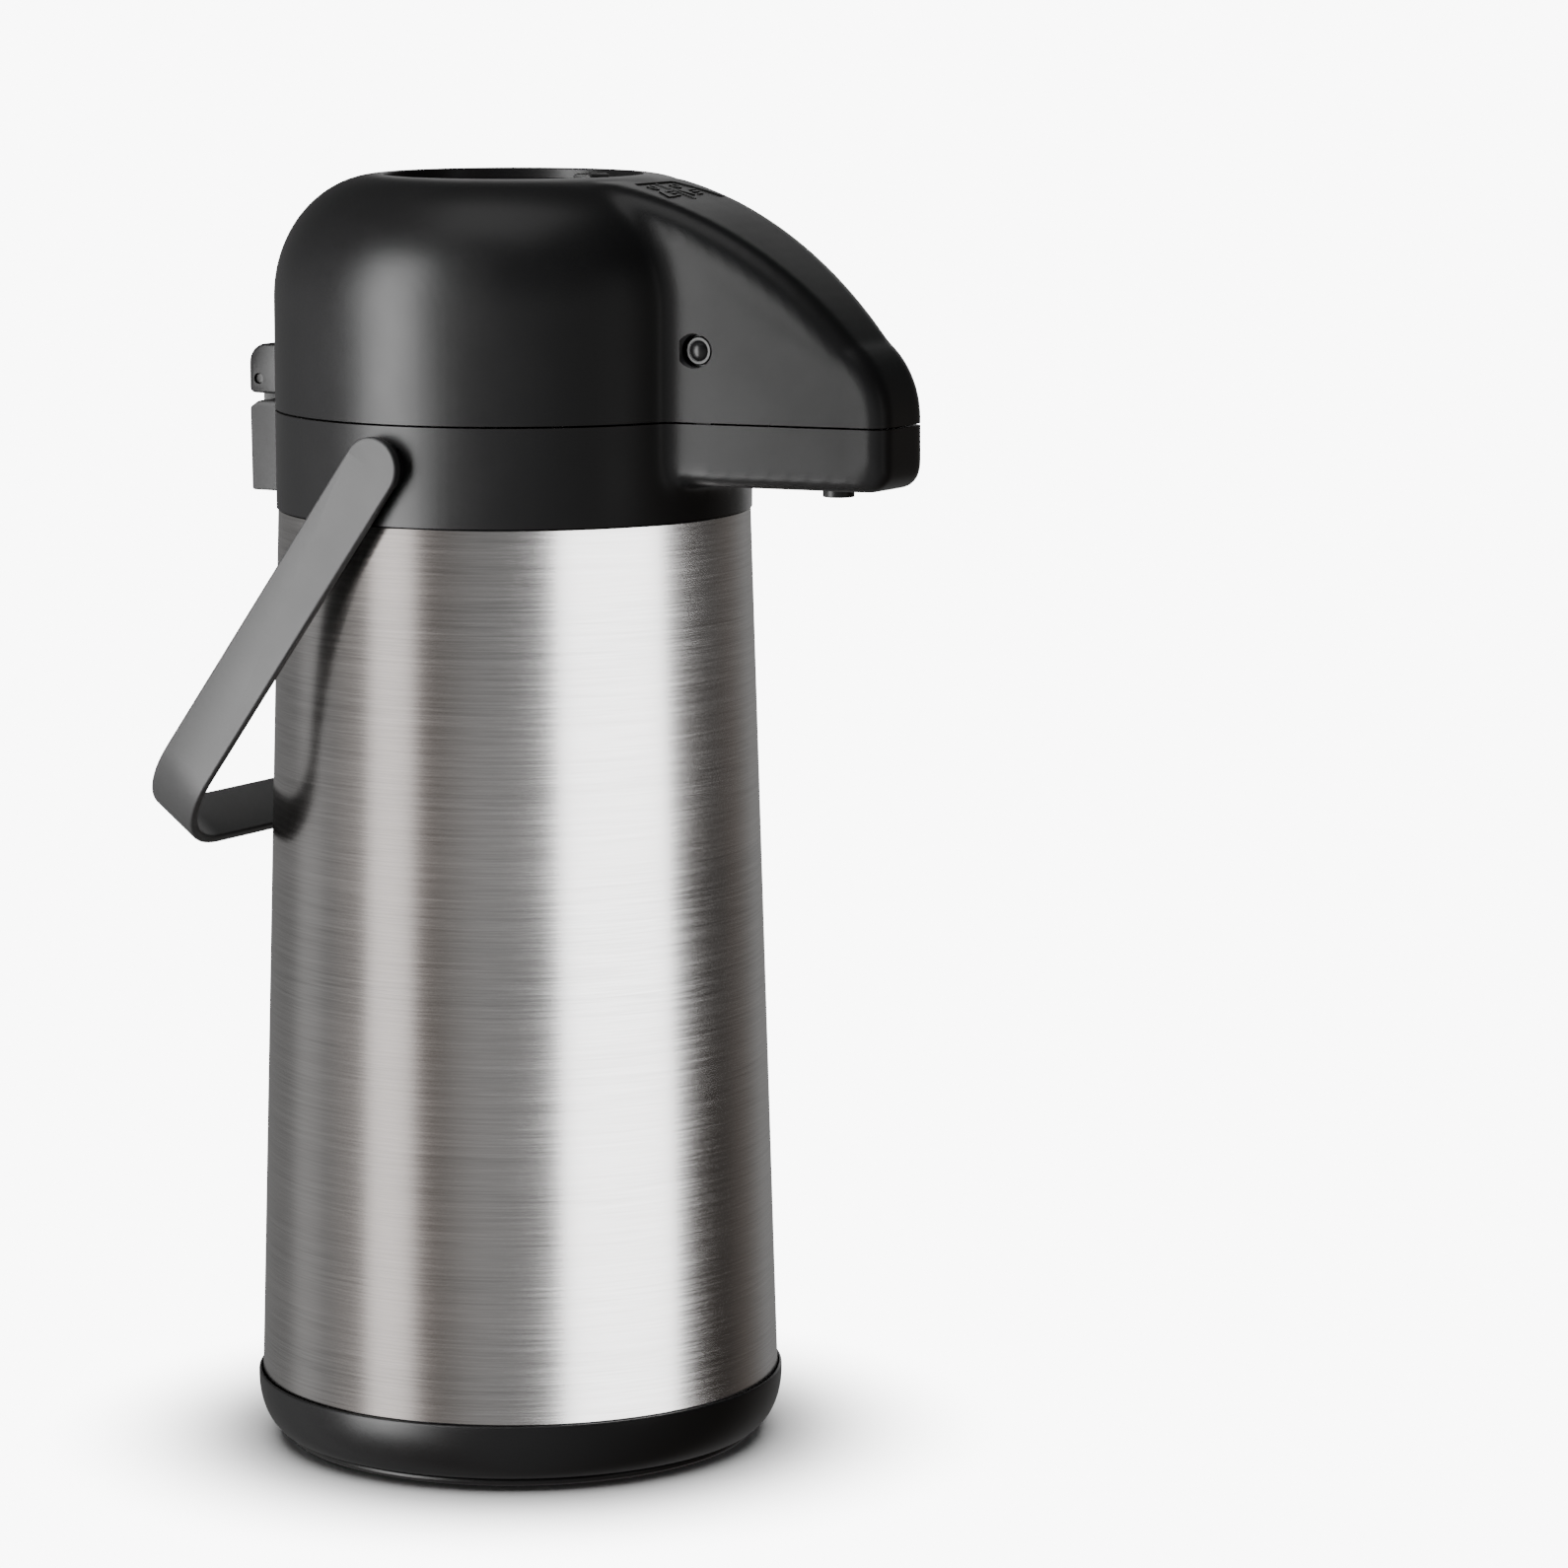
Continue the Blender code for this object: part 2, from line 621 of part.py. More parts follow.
def build_outlet(pot, black, clear, silicone):
    """The straight pipe through the spout and the elbow that turns it down."""
    sideways = (0, math.pi / 2, 0)
    start = TUBE_X + TUBE_R + 2 * MM
    elbow_x = NOZZLE_X - NOZZLE_R - 1.2 * MM
    pipe = ring("outlet_pipe", TUBE_BORE, TUBE_R, start, elbow_x, FINE)
    add("outlet_pipe", pipe, clear, pot, (0, 0, PIPE_Z), sideways)
    seal_low = MOUTH_RING_R + FIT
    seal = ring("outlet_seal", TUBE_R + FIT, TUBE_R + 1.8 * MM, seal_low, seal_low + 1.8 * MM, FINE)
    add("outlet_seal", seal, silicone, pot, (0, 0, PIPE_Z), sideways)

    head_top = PIPE_Z + TUBE_R
    nozzle_low = COLLAR_TOP - SPOUT_DROP - 2.6 * MM
    outline = [
        (0, nozzle_low),
        (NOZZLE_R, nozzle_low),
        (NOZZLE_R, head_top - 1 * MM),
        (NOZZLE_R - 1 * MM, head_top),
        (0, head_top),
    ]
    nozzle = add("nozzle_tip", turned("nozzle_tip", outline, FINE), black, pot, (NOZZLE_X, 0, 0))
    mouth = rod("cut_nozzle_bore", NOZZLE_R - 1.4 * MM, nozzle_low - EPS, PIPE_Z, FINE)
    inlet = rod("cut_nozzle_inlet", TUBE_BORE, -NOZZLE_R - EPS, 0, SMALL)
    cut(
        nozzle,
        helper("cut_nozzle_bore", mouth, (NOZZLE_X, 0, 0)),
        helper("cut_nozzle_inlet", inlet, (NOZZLE_X, 0, PIPE_Z), sideways),
    )


# Spout outline, shared by the collar and the lid


def spout_top(inset, low_z, root_x):
    """Upper outline from the seam round the nose to the rim, moved inwards by inset."""
    nose = arc_through(
        (TIP_X - inset, LID_BOTTOM + 2 * MM),
        (TIP_X - 2.7 * MM - inset, LID_BOTTOM + 13.6 * MM),
        (TIP_X - 10.7 * MM - inset * 0.8, LID_BOTTOM + 23.2 * MM - inset * 0.6),
        4,
    )
    back = arc_through(
        nose[-1],
        (COLLAR_R + 19.8 * MM - inset * 0.5, RIM - 18.6 * MM - inset * 0.9),
        (RIM_R + 6.6 * MM, RIM - 1.0 * MM - inset),
        8,
    )
    root_z = RIM - 1.0 * MM - inset
    return [(root_x, low_z), (TIP_X - inset, low_z), *nose, *back[1:], (root_x, root_z)]


def spout_bottom(inset, top_z, root_x):
    """Lower outline below the seam with a rounded toe, moved inwards by inset."""
    low = COLLAR_TOP - SPOUT_DROP + inset
    toe = arc((TIP_X - SPOUT_TOE - inset, low + SPOUT_TOE), SPOUT_TOE, -90, 0, 3)
    return [(root_x, top_z), (root_x, low), *toe, (TIP_X - inset, top_z)]


def spout_rounding(z):
    """Radius of the spout's edges at a height."""
    grown = min(max((z - LID_BOTTOM) / SPOUT_NOSE, 0), 1)
    return SPOUT_EDGE + (SPOUT_SHOULDER - SPOUT_EDGE) * grown


def spout_solid(name, outline, wall=0.0, steps=3):
    """Half of the spout, or the hollow a wall inside it: slices from the middle out to the flat sides.

    outline gives the points of a side view for an inset.
    """
    sharp = outline(wall)
    moved = outline(wall + MM)
    shape = bmesh.new()
    slices = []
    for i in range(steps + 1):
        turn = math.pi / 2 * (1 - i / steps)
        near, far = [], []
        for (x0, z0), (x1, z1) in zip(sharp, moved):
            radius = spout_rounding(z0) - wall
            inset = radius * (1 - math.sin(turn)) / MM
            x = x0 + (x1 - x0) * inset
            z = z0 + (z1 - z0) * inset
            half = spout_half(x0) - wall - radius * (1 - math.cos(turn))
            near.append(shape.verts.new((x, -half, z)))
            far.append(shape.verts.new((x, half, z)))
        slices.append((near, far))
    bands = [slices[0]]
    for (near, far), (next_near, next_far) in zip(slices, slices[1:]):
        bands += [(next_near, near), (far, next_far)]
    for a, b in bands:
        for i in range(len(sharp)):
            j = (i + 1) % len(sharp)
            shape.faces.new((a[i], a[j], b[j], b[i]))
    for side in slices[-1]:
        shape.faces.new(side)
    return mesh_of(name, shape)


# Collar


def build_collar(pot, black):
    inner = COLLAR_R - SHELL
    deck_top = MOUTH_TOP - 0.5 * MM
    deck_low = deck_top - DECK
    deck_r = MOUTH_RING_R + 2.8 * MM
    outline = [
        (COLLAR_R, COLLAR_BOTTOM),
        (COLLAR_R, COLLAR_TOP),
        (inner, COLLAR_TOP),
        (inner, deck_top),
        (deck_r, deck_top),
        (deck_r, deck_low),
        (inner - FIT, deck_low),
        (inner - FIT, COLLAR_BOTTOM),
    ]
    body = add("collar", turned("collar", outline), black, pot)

    root = COLLAR_R - 6 * MM
    wall = SPOUT_FLOOR
    spout = spout_solid("add_lower_spout", lambda inset: spout_bottom(inset, COLLAR_TOP, root))
    tray = spout_solid("cut_tray", lambda inset: spout_bottom(inset, COLLAR_TOP + EPS, root - EPS), wall)
    join(body, helper("add_lower_spout", spout))
    cut(body, helper("cut_tray", tray))
    channel = box(
        "cut_pipe_channel",
        (deck_r - EPS, -(TUBE_R + 0.8 * MM), deck_low - 2 * EPS),
        (inner, TUBE_R + 0.8 * MM, deck_top + EPS),
    )
    nozzle = rod("cut_nozzle_hole", NOZZLE_R + SLIDE, COLLAR_TOP - SPOUT_DROP - EPS, PIPE_Z, FINE)
    cut(body, helper("cut_pipe_channel", channel), helper("cut_nozzle_hole", nozzle, (NOZZLE_X, 0, 0)))

    for side, word in ((-1, "right"), (1, "left")):
        turn = (-side * math.pi / 2, 0, 0)
        place = (0, 0, PIVOT_Z)
        boss = rod(f"add_boss_{word}", STRAP_HALF - 1.2 * MM, inner, COLLAR_R + STRAP_GAP - 0.4 * MM, FINE)
        hole = rod(f"cut_peg_{word}", PEG_R + FIT, inner - 6 * MM, COLLAR_R + STRAP_GAP + EPS, FINE)
        join(body, helper(f"add_boss_{word}", boss, place, turn))
        cut(body, helper(f"cut_peg_{word}", hole, place, turn))
        catch_x = COLLAR_R + RELEASE_X
        edge = spout_half(catch_x) - wall
        near, far = sorted((side * (edge - 0.75 * MM), side * (edge + 1.2 * MM)))
        low = COLLAR_TOP - 4.1 * MM
        catch = box(f"add_catch_{word}", (catch_x - 4 * MM, near, low), (catch_x + 4 * MM, far, low + 2 * MM))
        join(body, helper(f"add_catch_{word}", catch))
        screw_hole_r = BRACKET_SCREW_R + FIT
        screw_hole = rod(f"cut_bracket_screw_{word}", screw_hole_r, inner - 2 * MM, COLLAR_R + EPS, SMALL)
        place = (0, side * BRACKET_SCREW_Y, bracket_screw_z())
        cut(body, helper(f"cut_bracket_screw_{word}", screw_hole, place, (0, -math.pi / 2, 0)))


# Hinge


def bracket_screw_z():
    return COLLAR_TOP - BRACKET_SCREW_DROP


def build_hinge(pot, black, steel):
    """The bracket behind the collar with its lug, its two screws and the pin."""
    back = HINGE_X - KNUCKLE_BACK
    top = LID_BOTTOM - 0.5 * MM
    low = COLLAR_TOP - BRACKET_DROP
    outline = [
        (-(COLLAR_R - 8 * MM), low),
        (back + 0.4 * MM, low),
        (back, top - 2 * MM),
        (back + 3 * MM, top),
        (-(COLLAR_R - 8 * MM), top),
    ]
    shape = slab("hinge_bracket", outline, HINGE_HALF)
    body = add("hinge_bracket", mesh_of("hinge_bracket", shape), black, pot)
    lug_r = KNUCKLE_BACK + 0.4 * MM
    lug = slab(
        "add_lug",
        [
            (HINGE_X - lug_r, top - EPS),
            *arc((HINGE_X, HINGE_Z), lug_r, 180, 0, 8),
            (HINGE_X + lug_r, top - EPS),
        ],
        LUG_HALF,
    )
    join(body, helper("add_lug", mesh_of("add_lug", lug)))
    face = rod("cut_collar_face", COLLAR_R + FIT, low - EPS, HINGE_Z + 2 * EPS, ROUND)
    bore_reach = HINGE_HALF + EPS
    bore = rod("cut_lug_bore", PIN_R + PIN_PLAY, -bore_reach, bore_reach, FINE)
    cut(body, helper("cut_collar_face", face))
    cut(body, helper("cut_lug_bore", bore, (HINGE_X, 0, HINGE_Z), (math.pi / 2, 0, 0)))
    pin_half = HINGE_HALF - 0.8 * MM
    pin = rod("hinge_pin", PIN_R, -pin_half, pin_half, FINE)
    add("hinge_pin", pin, steel, pot, (HINGE_X, 0, HINGE_Z), (math.pi / 2, 0, 0))

    head_x = -(math.sqrt((COLLAR_R - SHELL) ** 2 - (13 * MM) ** 2) - 0.8 * MM)
    shank = abs(HINGE_X) - abs(head_x)
    for side, word in ((-1, "right"), (1, "left")):
        hole = rod(f"cut_bracket_thread_{word}", BRACKET_SCREW_R + FIT, 0, shank + 1.5 * MM, SMALL)
        place = (head_x, side * BRACKET_SCREW_Y, bracket_screw_z())
        cut(body, helper(f"cut_bracket_thread_{word}", hole, place, (0, -math.pi / 2, 0)))
        fastener = screw(f"hinge_screw_{word}", 2.8 * MM, 1.8 * MM, 1.5 * MM, shank)
        add(f"hinge_screw_{word}", fastener, steel, pot, place, (0, -math.pi / 2, 0))


# Lid


def dome_line(inset, steps, last):
    """The dome's side and crown from the lower edge up, moved inwards by inset."""
    crown = LID_BOTTOM + DOME_STRAIGHT
    across = COLLAR_R - RIM_R - inset
    up = RIM - crown - inset
    return arc((RIM_R, crown), (across, up), 0, last, steps)


def lid_screw_places():
    turn = math.radians(45)
    reach = COLLAR_R - SHELL - 3.5 * MM
    turns = [turn + i * math.pi / 2 for i in range(4)]
    return [(reach * math.cos(t), reach * math.sin(t)) for t in turns]


def build_lid_cover(lid, black):
    skirt = [(0, LID_BOTTOM), (COLLAR_R, LID_BOTTOM)]
    outline = [*skirt, *dome_line(0, 8, 86), (RIM_R + 1.2 * MM, RIM), (0, RIM)]
    body = add("lid_cover", turned("lid_cover", outline), black, lid)

    upper = spout_solid("add_upper_spout", lambda inset: spout_top(inset, LID_BOTTOM, RIM_R + 2 * MM))
    join(body, helper("add_upper_spout", upper))

    back = HINGE_X - KNUCKLE_BACK
    root = -(COLLAR_R - 1.5 * MM)
    corner = 6 * MM
    knuckle_top = HINGE_Z + KNUCKLE_UP
    knuckle_low = HINGE_Z - KNUCKLE_DOWN
    knuckle = slab(
        "add_knuckle",
        [
            (root, knuckle_low),
            (root, knuckle_top),
            *arc((back + corner, knuckle_top - corner), corner, 90, 180, 4),
            *arc((back + 1.8 * MM, knuckle_low + 1.8 * MM), 1.8 * MM, 180, 270, 2),
        ],
        HINGE_HALF,
    )
    join(body, helper("add_knuckle", mesh_of("add_knuckle", knuckle)))

    sleeve = WELL_R + SLEEVE_WALL
    sleeve_low = RIM - SLEEVE_DEPTH
    inner = COLLAR_R - SHELL
    roof = [point for point in dome_line(SHELL, 8, 84) if point[0] > sleeve + EPS]
    hollow = [
        (0, LID_BOTTOM - EPS),
        (inner, LID_BOTTOM - EPS),
        *roof,
        (sleeve, roof[-1][1]),
        (sleeve, sleeve_low),
        (WELL_R, sleeve_low),
        (WELL_R, RIM + EPS),
        (0, RIM + EPS),
    ]
    passage = spout_solid(
        "cut_spout_hollow", lambda inset: spout_top(inset, LID_BOTTOM - EPS, sleeve + 2 * EPS), SHELL
    )
    cut(
        body,
        helper("cut_dome_hollow", turned("cut_dome_hollow", hollow)),
        helper("cut_spout_hollow", passage),
    )
    gap = 0.6 * MM
    slot = box(
        "cut_lug_slot",
        (back - EPS, -(LUG_HALF + gap), knuckle_low - EPS),
        (-(COLLAR_R + FIT), LUG_HALF + gap, HINGE_Z + KNUCKLE_BACK + 1.7 * MM),
    )
    bore = rod("cut_pin_bore", PIN_R + PIN_PLAY, -HINGE_HALF - EPS, HINGE_HALF + EPS, FINE)
    window = box(
        "cut_lock_window",
        (WELL_R - 2 * EPS, -(LOCK_HALF + 0.8 * MM), lock_low() - 0.6 * MM),
        (sleeve + EPS, LOCK_HALF + 0.8 * MM, lock_low() + 2.4 * MM),
    )
    release = rod("cut_release_holes", RELEASE_HOLE_R, -COLLAR_R, COLLAR_R, FINE)
    cut(
        body,
        helper("cut_lug_slot", slot),
        helper("cut_pin_bore", bore, (HINGE_X, 0, HINGE_Z), (math.pi / 2, 0, 0)),
        helper("cut_lock_window", window),
        helper("cut_release_holes", release, release_place(0), (math.pi / 2, 0, 0)),
    )
    for i, (x, y) in enumerate(lid_screw_places(), 1):
        boss = rod(f"add_screw_boss_{i}", 4.4 * MM, lid_flange_top() + FIT, LID_BOTTOM + 20 * MM, SMALL)
        thread = rod(f"cut_screw_thread_{i}", 1.4 * MM + FIT, LID_BOTTOM - EPS, LID_BOTTOM + 16 * MM, SMALL)
        join(body, helper(f"add_screw_boss_{i}", boss, (x, y, 0)))
        cut(body, helper(f"cut_screw_thread_{i}", thread, (x, y, 0)))


def lid_flange_low():
    return LID_BOTTOM + 0.7 * MM


def lid_flange_top():
    return lid_flange_low() + 2.4 * MM


def build_lid_base(lid, black, silicone, steel):
    """The underside of the lid: it carries the gasket and the bellows."""
    port = 3 * MM
    seal_in = MOUTH_RING_R - 13.5 * MM
    seal_out = MOUTH_RING_R - 7 * MM
    lip = 1.7 * MM
    rib = LID_BASE_BOTTOM - 2 * MM
    edge = COLLAR_R - SHELL - SLIDE
    outline = [
        (port, LID_BASE_BOTTOM),
        (seal_in - FIT - lip, LID_BASE_BOTTOM),
        (seal_in - FIT - lip, rib),
        (seal_in - FIT, rib),
        (seal_in - FIT, LID_BASE_BOTTOM),
        (seal_out + FIT, LID_BASE_BOTTOM),
        (seal_out + FIT, rib),
        (seal_out + FIT + lip, rib),
        (seal_out + FIT + lip, LID_BASE_BOTTOM),
        (MOUTH_RING_R - 1 * MM, LID_BASE_BOTTOM),
        (MOUTH_RING_R + 1 * MM, lid_flange_low()),
        (edge, lid_flange_low()),
        (edge, lid_flange_top()),
        (MOUTH_RING_R, lid_flange_top()),
        (MOUTH_RING_R - 2 * MM, LID_BASE_TOP),
        (port, LID_BASE_TOP),
    ]
    body = add("lid_base", turned("lid_base", outline), black, lid)
    seal = ring("lid_gasket", seal_in, seal_out, MOUTH_TOP + FIT, LID_BASE_BOTTOM - FIT)
    add("lid_gasket", seal, silicone, lid)
    for i, (x, y) in enumerate(lid_screw_places(), 1):
        hole = rod(f"cut_lid_base_{i}", 1.4 * MM + FIT, lid_flange_low() - EPS, lid_flange_top() + EPS, SMALL)
        cut(body, helper(f"cut_lid_base_{i}", hole, (x, y, 0)))
        fastener = screw(f"lid_screw_{i}", 2.6 * MM, 1.3 * MM, 1.4 * MM, 12 * MM)
        add(f"lid_screw_{i}", fastener, steel, lid, (x, y, lid_flange_low() - FIT))


# Pump


def build_bellows(lid, rubber, black, steel):
    low = LID_BASE_TOP + FIT
    high = PLATE_BOTTOM - FIT
    flange = 1.2 * MM
    flange_r = BELLOWS_R + 3 * MM
    first = low + flange + 1.5 * MM
    last = high - flange - 1.0 * MM
    pitch = (last - first) / BELLOWS_FOLDS
    waist = BELLOWS_R - BELLOWS_FOLD
    folds = []
    for i in range(BELLOWS_FOLDS):
        folds += [(waist, first + i * pitch), (BELLOWS_R, first + (i + 0.5) * pitch)]
    folds.append((waist, last))
    inside = [(r - BELLOWS_WALL, z) for r, z in reversed(folds)]
    outline = [
        (waist - BELLOWS_WALL, low),
        (flange_r, low),
        (flange_r, low + flange),
        (waist, low + flange),
        *folds,
        (PUMP_PLATE_R - 1 * MM, high - flange),
        (PUMP_PLATE_R - 1 * MM, high),
        (waist - BELLOWS_WALL, high),
        *inside,
    ]
    add("bellows", turned("bellows", outline, 32), rubber, lid)
    clamp_low = low + flange + FIT
    clamp_r = flange_r + 1.0 * MM
    clamp = ring("bellows_clamp", BELLOWS_R + 0.6 * MM, clamp_r, clamp_low, clamp_low + 1.8 * MM)
    add("bellows_clamp", clamp, black, lid)
    start = low + SPRING_WIRE
    end = high - SPRING_WIRE - FIT
    add("return_spring", coil("return_spring", SPRING_R, SPRING_WIRE, start, end, SPRING_TURNS), steel, lid)


def lock_low():
    """Underside of the lock slider."""
    return RIM - BUTTON_SINK - 3.0 * MM


def build_button(button, lock, black, rubber):
    top = RIM - BUTTON_SINK
    edge = WELL_R - SLIDE
    inner = edge - BUTTON_WALL
    bottom = PLATE_BOTTOM - 1.0 * MM
    flange = RIM - SLEEVE_DEPTH - FIT
    flange_r = WELL_R + SLEEVE_WALL - 0.6 * MM
    centre = top - BUTTON_DISH
    dish_flat = inner - 21.2 * MM
    dish_side = inner - 7.2 * MM
    dish = [
        (0, centre),
        (dish_flat, centre + 0.4 * MM),
        (dish_side, centre + 1.8 * MM),
        (inner - 2.7 * MM, top - 1.6 * MM),
    ]
    outline = [
        *dish,
        (inner, top),
        (edge, top),
        (edge, flange),
        (flange_r, flange),
        (flange_r, bottom),
        (inner, bottom),
        (inner, top - 3.4 * MM),
        (dish_side, centre + 1.8 * MM - BUTTON_WALL),
        (dish_flat, centre + 0.4 * MM - BUTTON_WALL),
        (0, centre - BUTTON_WALL),
    ]
    body = add("push_button", turned("push_button", outline), black, button)
    stem = ring("add_stem", 8.5 * MM, 10.5 * MM, PLATE_BOTTOM + PUMP_PLATE + FIT, centre - 0.5 * MM, FINE)
    tongue = WELL_R - LOCK_TONGUE
    tail = tongue - LOCK_LENGTH
    track_half = LOCK_HALF + 2.5 * MM
    track = box(
        "add_lock_track",
        (tail - 3 * MM, -track_half, centre - 0.6 * MM),
        (inner + 0.5 * MM, track_half, lock_low() + 1.4 * MM),
    )
    join(body, helper("add_stem", stem), helper("add_lock_track", track))
    half = LOCK_HALF + FIT
    channel_low = lock_low() - FIT
    channel = box(
        "cut_lock_channel",
        (tail - 0.4 * MM, -half, channel_low),
        (inner - 0.4 * MM, half, top + EPS),
    )
    window = box(
        "cut_lock_slot",
        (inner - EPS, -half, channel_low),
        (edge + EPS, half, lock_low() + 2.0 * MM),
    )
    cut(body, helper("cut_lock_channel", channel), helper("cut_lock_slot", window))

    pump_plate = ring("pump_plate", 1.9 * MM + FIT, PUMP_PLATE_R, PLATE_BOTTOM, PLATE_BOTTOM + PUMP_PLATE)
    add("pump_plate", pump_plate, black, button)
    flap_top = PLATE_BOTTOM - FIT
    stem_top = PLATE_BOTTOM + PUMP_PLATE
    outline = [
        (0, flap_top - 1.5 * MM),
        (7 * MM, flap_top - 0.8 * MM),
        (7 * MM, flap_top),
        (1.9 * MM, flap_top),
        (1.9 * MM, stem_top + FIT),
        (3 * MM, stem_top + FIT),
        (2 * MM, stem_top + 2 * MM),
        (0, stem_top + 2 * MM),
    ]
    add("inlet_valve", turned("inlet_valve", outline, 16), rubber, button)

    slide_top = lock_low() + 1.6 * MM
    slide = box("lock_slider", (tail, -LOCK_HALF, lock_low()), (tongue, LOCK_HALF, slide_top))
    slider = add("lock_slider", slide, black, lock)
    knob_out = WELL_R - LOCK_KNOB_IN
    knob_in = knob_out - LOCK_KNOB
    knob = slab(
        "add_lock_knob",
        [
            (knob_in, lock_low() + 0.8 * MM),
            (knob_out, lock_low() + 0.8 * MM),
            (knob_out - 0.8 * MM, RIM + 0.2 * MM),
            (knob_out - 1.8 * MM, RIM + 0.6 * MM),
            (knob_in + 1.8 * MM, RIM + 0.6 * MM),
            (knob_in + 0.8 * MM, RIM + 0.2 * MM),
        ],
        LOCK_HALF - 1.5 * MM,
    )
    join(slider, helper("add_lock_knob", mesh_of("add_lock_knob", knob)))


# Release buttons


def release_place(y):
    return (COLLAR_R + RELEASE_X, y, LID_BOTTOM + RELEASE_RISE)


def build_release(word, side, body, black):
    """One side button with the arm and the nose that hold the lid shut. Its shapes lie along local +Z."""
    x, _, z = release_place(0)
    face = spout_half(x)
    flange_r = 6 * MM
    flange_out = spout_half(x + flange_r) - SHELL - FIT
    flange_in = flange_out - 1.3 * MM
    cap_out = face - 0.7 * MM
    outline = [
        (0, flange_in),
        (flange_r, flange_in),
        (flange_r, flange_out),
        (RELEASE_R, flange_out),
        (RELEASE_R, cap_out - 0.7 * MM),
        (RELEASE_R - 0.7 * MM, cap_out),
        (0, cap_out + 0.2 * MM),
    ]
    turn = (-side * math.pi / 2, 0, 0)
    cap = turned(f"release_button_{word}", outline, FINE)
    button = add(f"release_button_{word}", cap, black, body, (x, 0, z), turn)
    arm_low = COLLAR_TOP - 7.2 * MM
    arm_in, arm_out = sorted((side * (flange_in - 1.2 * MM), side * (flange_in + 0.6 * MM)))
    arm_half = 2.5 * MM
    arm = box(f"add_arm_{word}", (x - arm_half, arm_in, arm_low), (x + arm_half, arm_out, z - 2 * MM))
    reach = spout_half(x) - SPOUT_FLOOR - 0.75 * MM - FIT
    nose_in, nose_out = sorted((side * flange_in, side * reach))
    nose_top = arm_low + 2.5 * MM
    nose = box(f"add_nose_{word}", (x - arm_half, nose_in, arm_low), (x + arm_half, nose_out, nose_top))
    join(button, helper(f"add_arm_{word}", arm), helper(f"add_nose_{word}", nose))
    return flange_in - 1.2 * MM


def build_latch_spring(lid, end, steel):
    reach = end - SPRING_WIRE - FIT
    spring = coil("latch_spring", 2.6 * MM, 0.4 * MM, -reach, reach, 9, 8)
    add("latch_spring", spring, steel, lid, release_place(0), (math.pi / 2, 0, 0))


# Handle


def hang_angle():
    """Angle from straight down at which the grip's front edge rests against the steel."""
    reach = STRAP_REACH - STRAP
    angle = 0.0
    while angle < math.pi / 2:
        z = PIVOT_Z - reach * math.cos(angle) - STRAP_HALF * math.sin(angle)
        edge = reach * math.sin(angle) - STRAP_HALF * math.cos(angle)
        if edge >= steel_r(z) + STRAP_REST:
            break
        angle += math.radians(0.1)
    return angle


def strap_line(inset):
    """The strap's line in its own plane, from one pivot round the grip to the other: (y, reach) points."""
    side = COLLAR_R + STRAP_GAP + STRAP - inset
    reach = STRAP_REACH - inset
    bend = STRAP_BEND - inset
    right = arc((-side + bend, reach - bend), bend, 180, 90, 6)
    left = arc((side - bend, reach - bend), bend, 90, 0, 6)
    return [(-side, 0), *right, *left, (side, 0)]


def build_handle(handle, black):
    """One bent strip. It is modelled hanging straight down and turned back to its rest."""
    shape = bmesh.new()
    rows = []
    for x in (-STRAP_HALF, STRAP_HALF):
        for inset in (0, STRAP):
            rows.append([shape.verts.new((x, y, -reach)) for y, reach in strap_line(inset)])
    back_out, back_in, front_out, front_in = rows
    loops = (back_out, back_in, front_in, front_out)
    for a, b in zip(loops, loops[1:] + loops[:1]):
        for i in range(len(a) - 1):
            shape.faces.new((a[i], a[i + 1], b[i + 1], b[i]))
    for end in (0, -1):
        shape.faces.new([loop[end] for loop in loops])
    strip = mesh_of("handle_strap", shape)
    turn = (0, hang_angle(), 0)
    body = add("handle_strap", strip, black, handle, (0, 0, PIVOT_Z), turn)
    inner = COLLAR_R + STRAP_GAP
    for side, word in ((-1, "right"), (1, "left")):
        sideways = (-side * math.pi / 2, 0, 0)
        place = (0, 0, PIVOT_Z)
        eye = rod(f"add_eye_{word}", STRAP_HALF, inner, inner + STRAP, FINE)
        peg = rod(f"add_peg_{word}", PEG_R, COLLAR_R - SHELL - 2 * MM, inner + 1.5 * MM, FINE)
        join(
            body,
            helper(f"add_eye_{word}", eye, place, sideways),
            helper(f"add_peg_{word}", peg, place, sideways),
        )


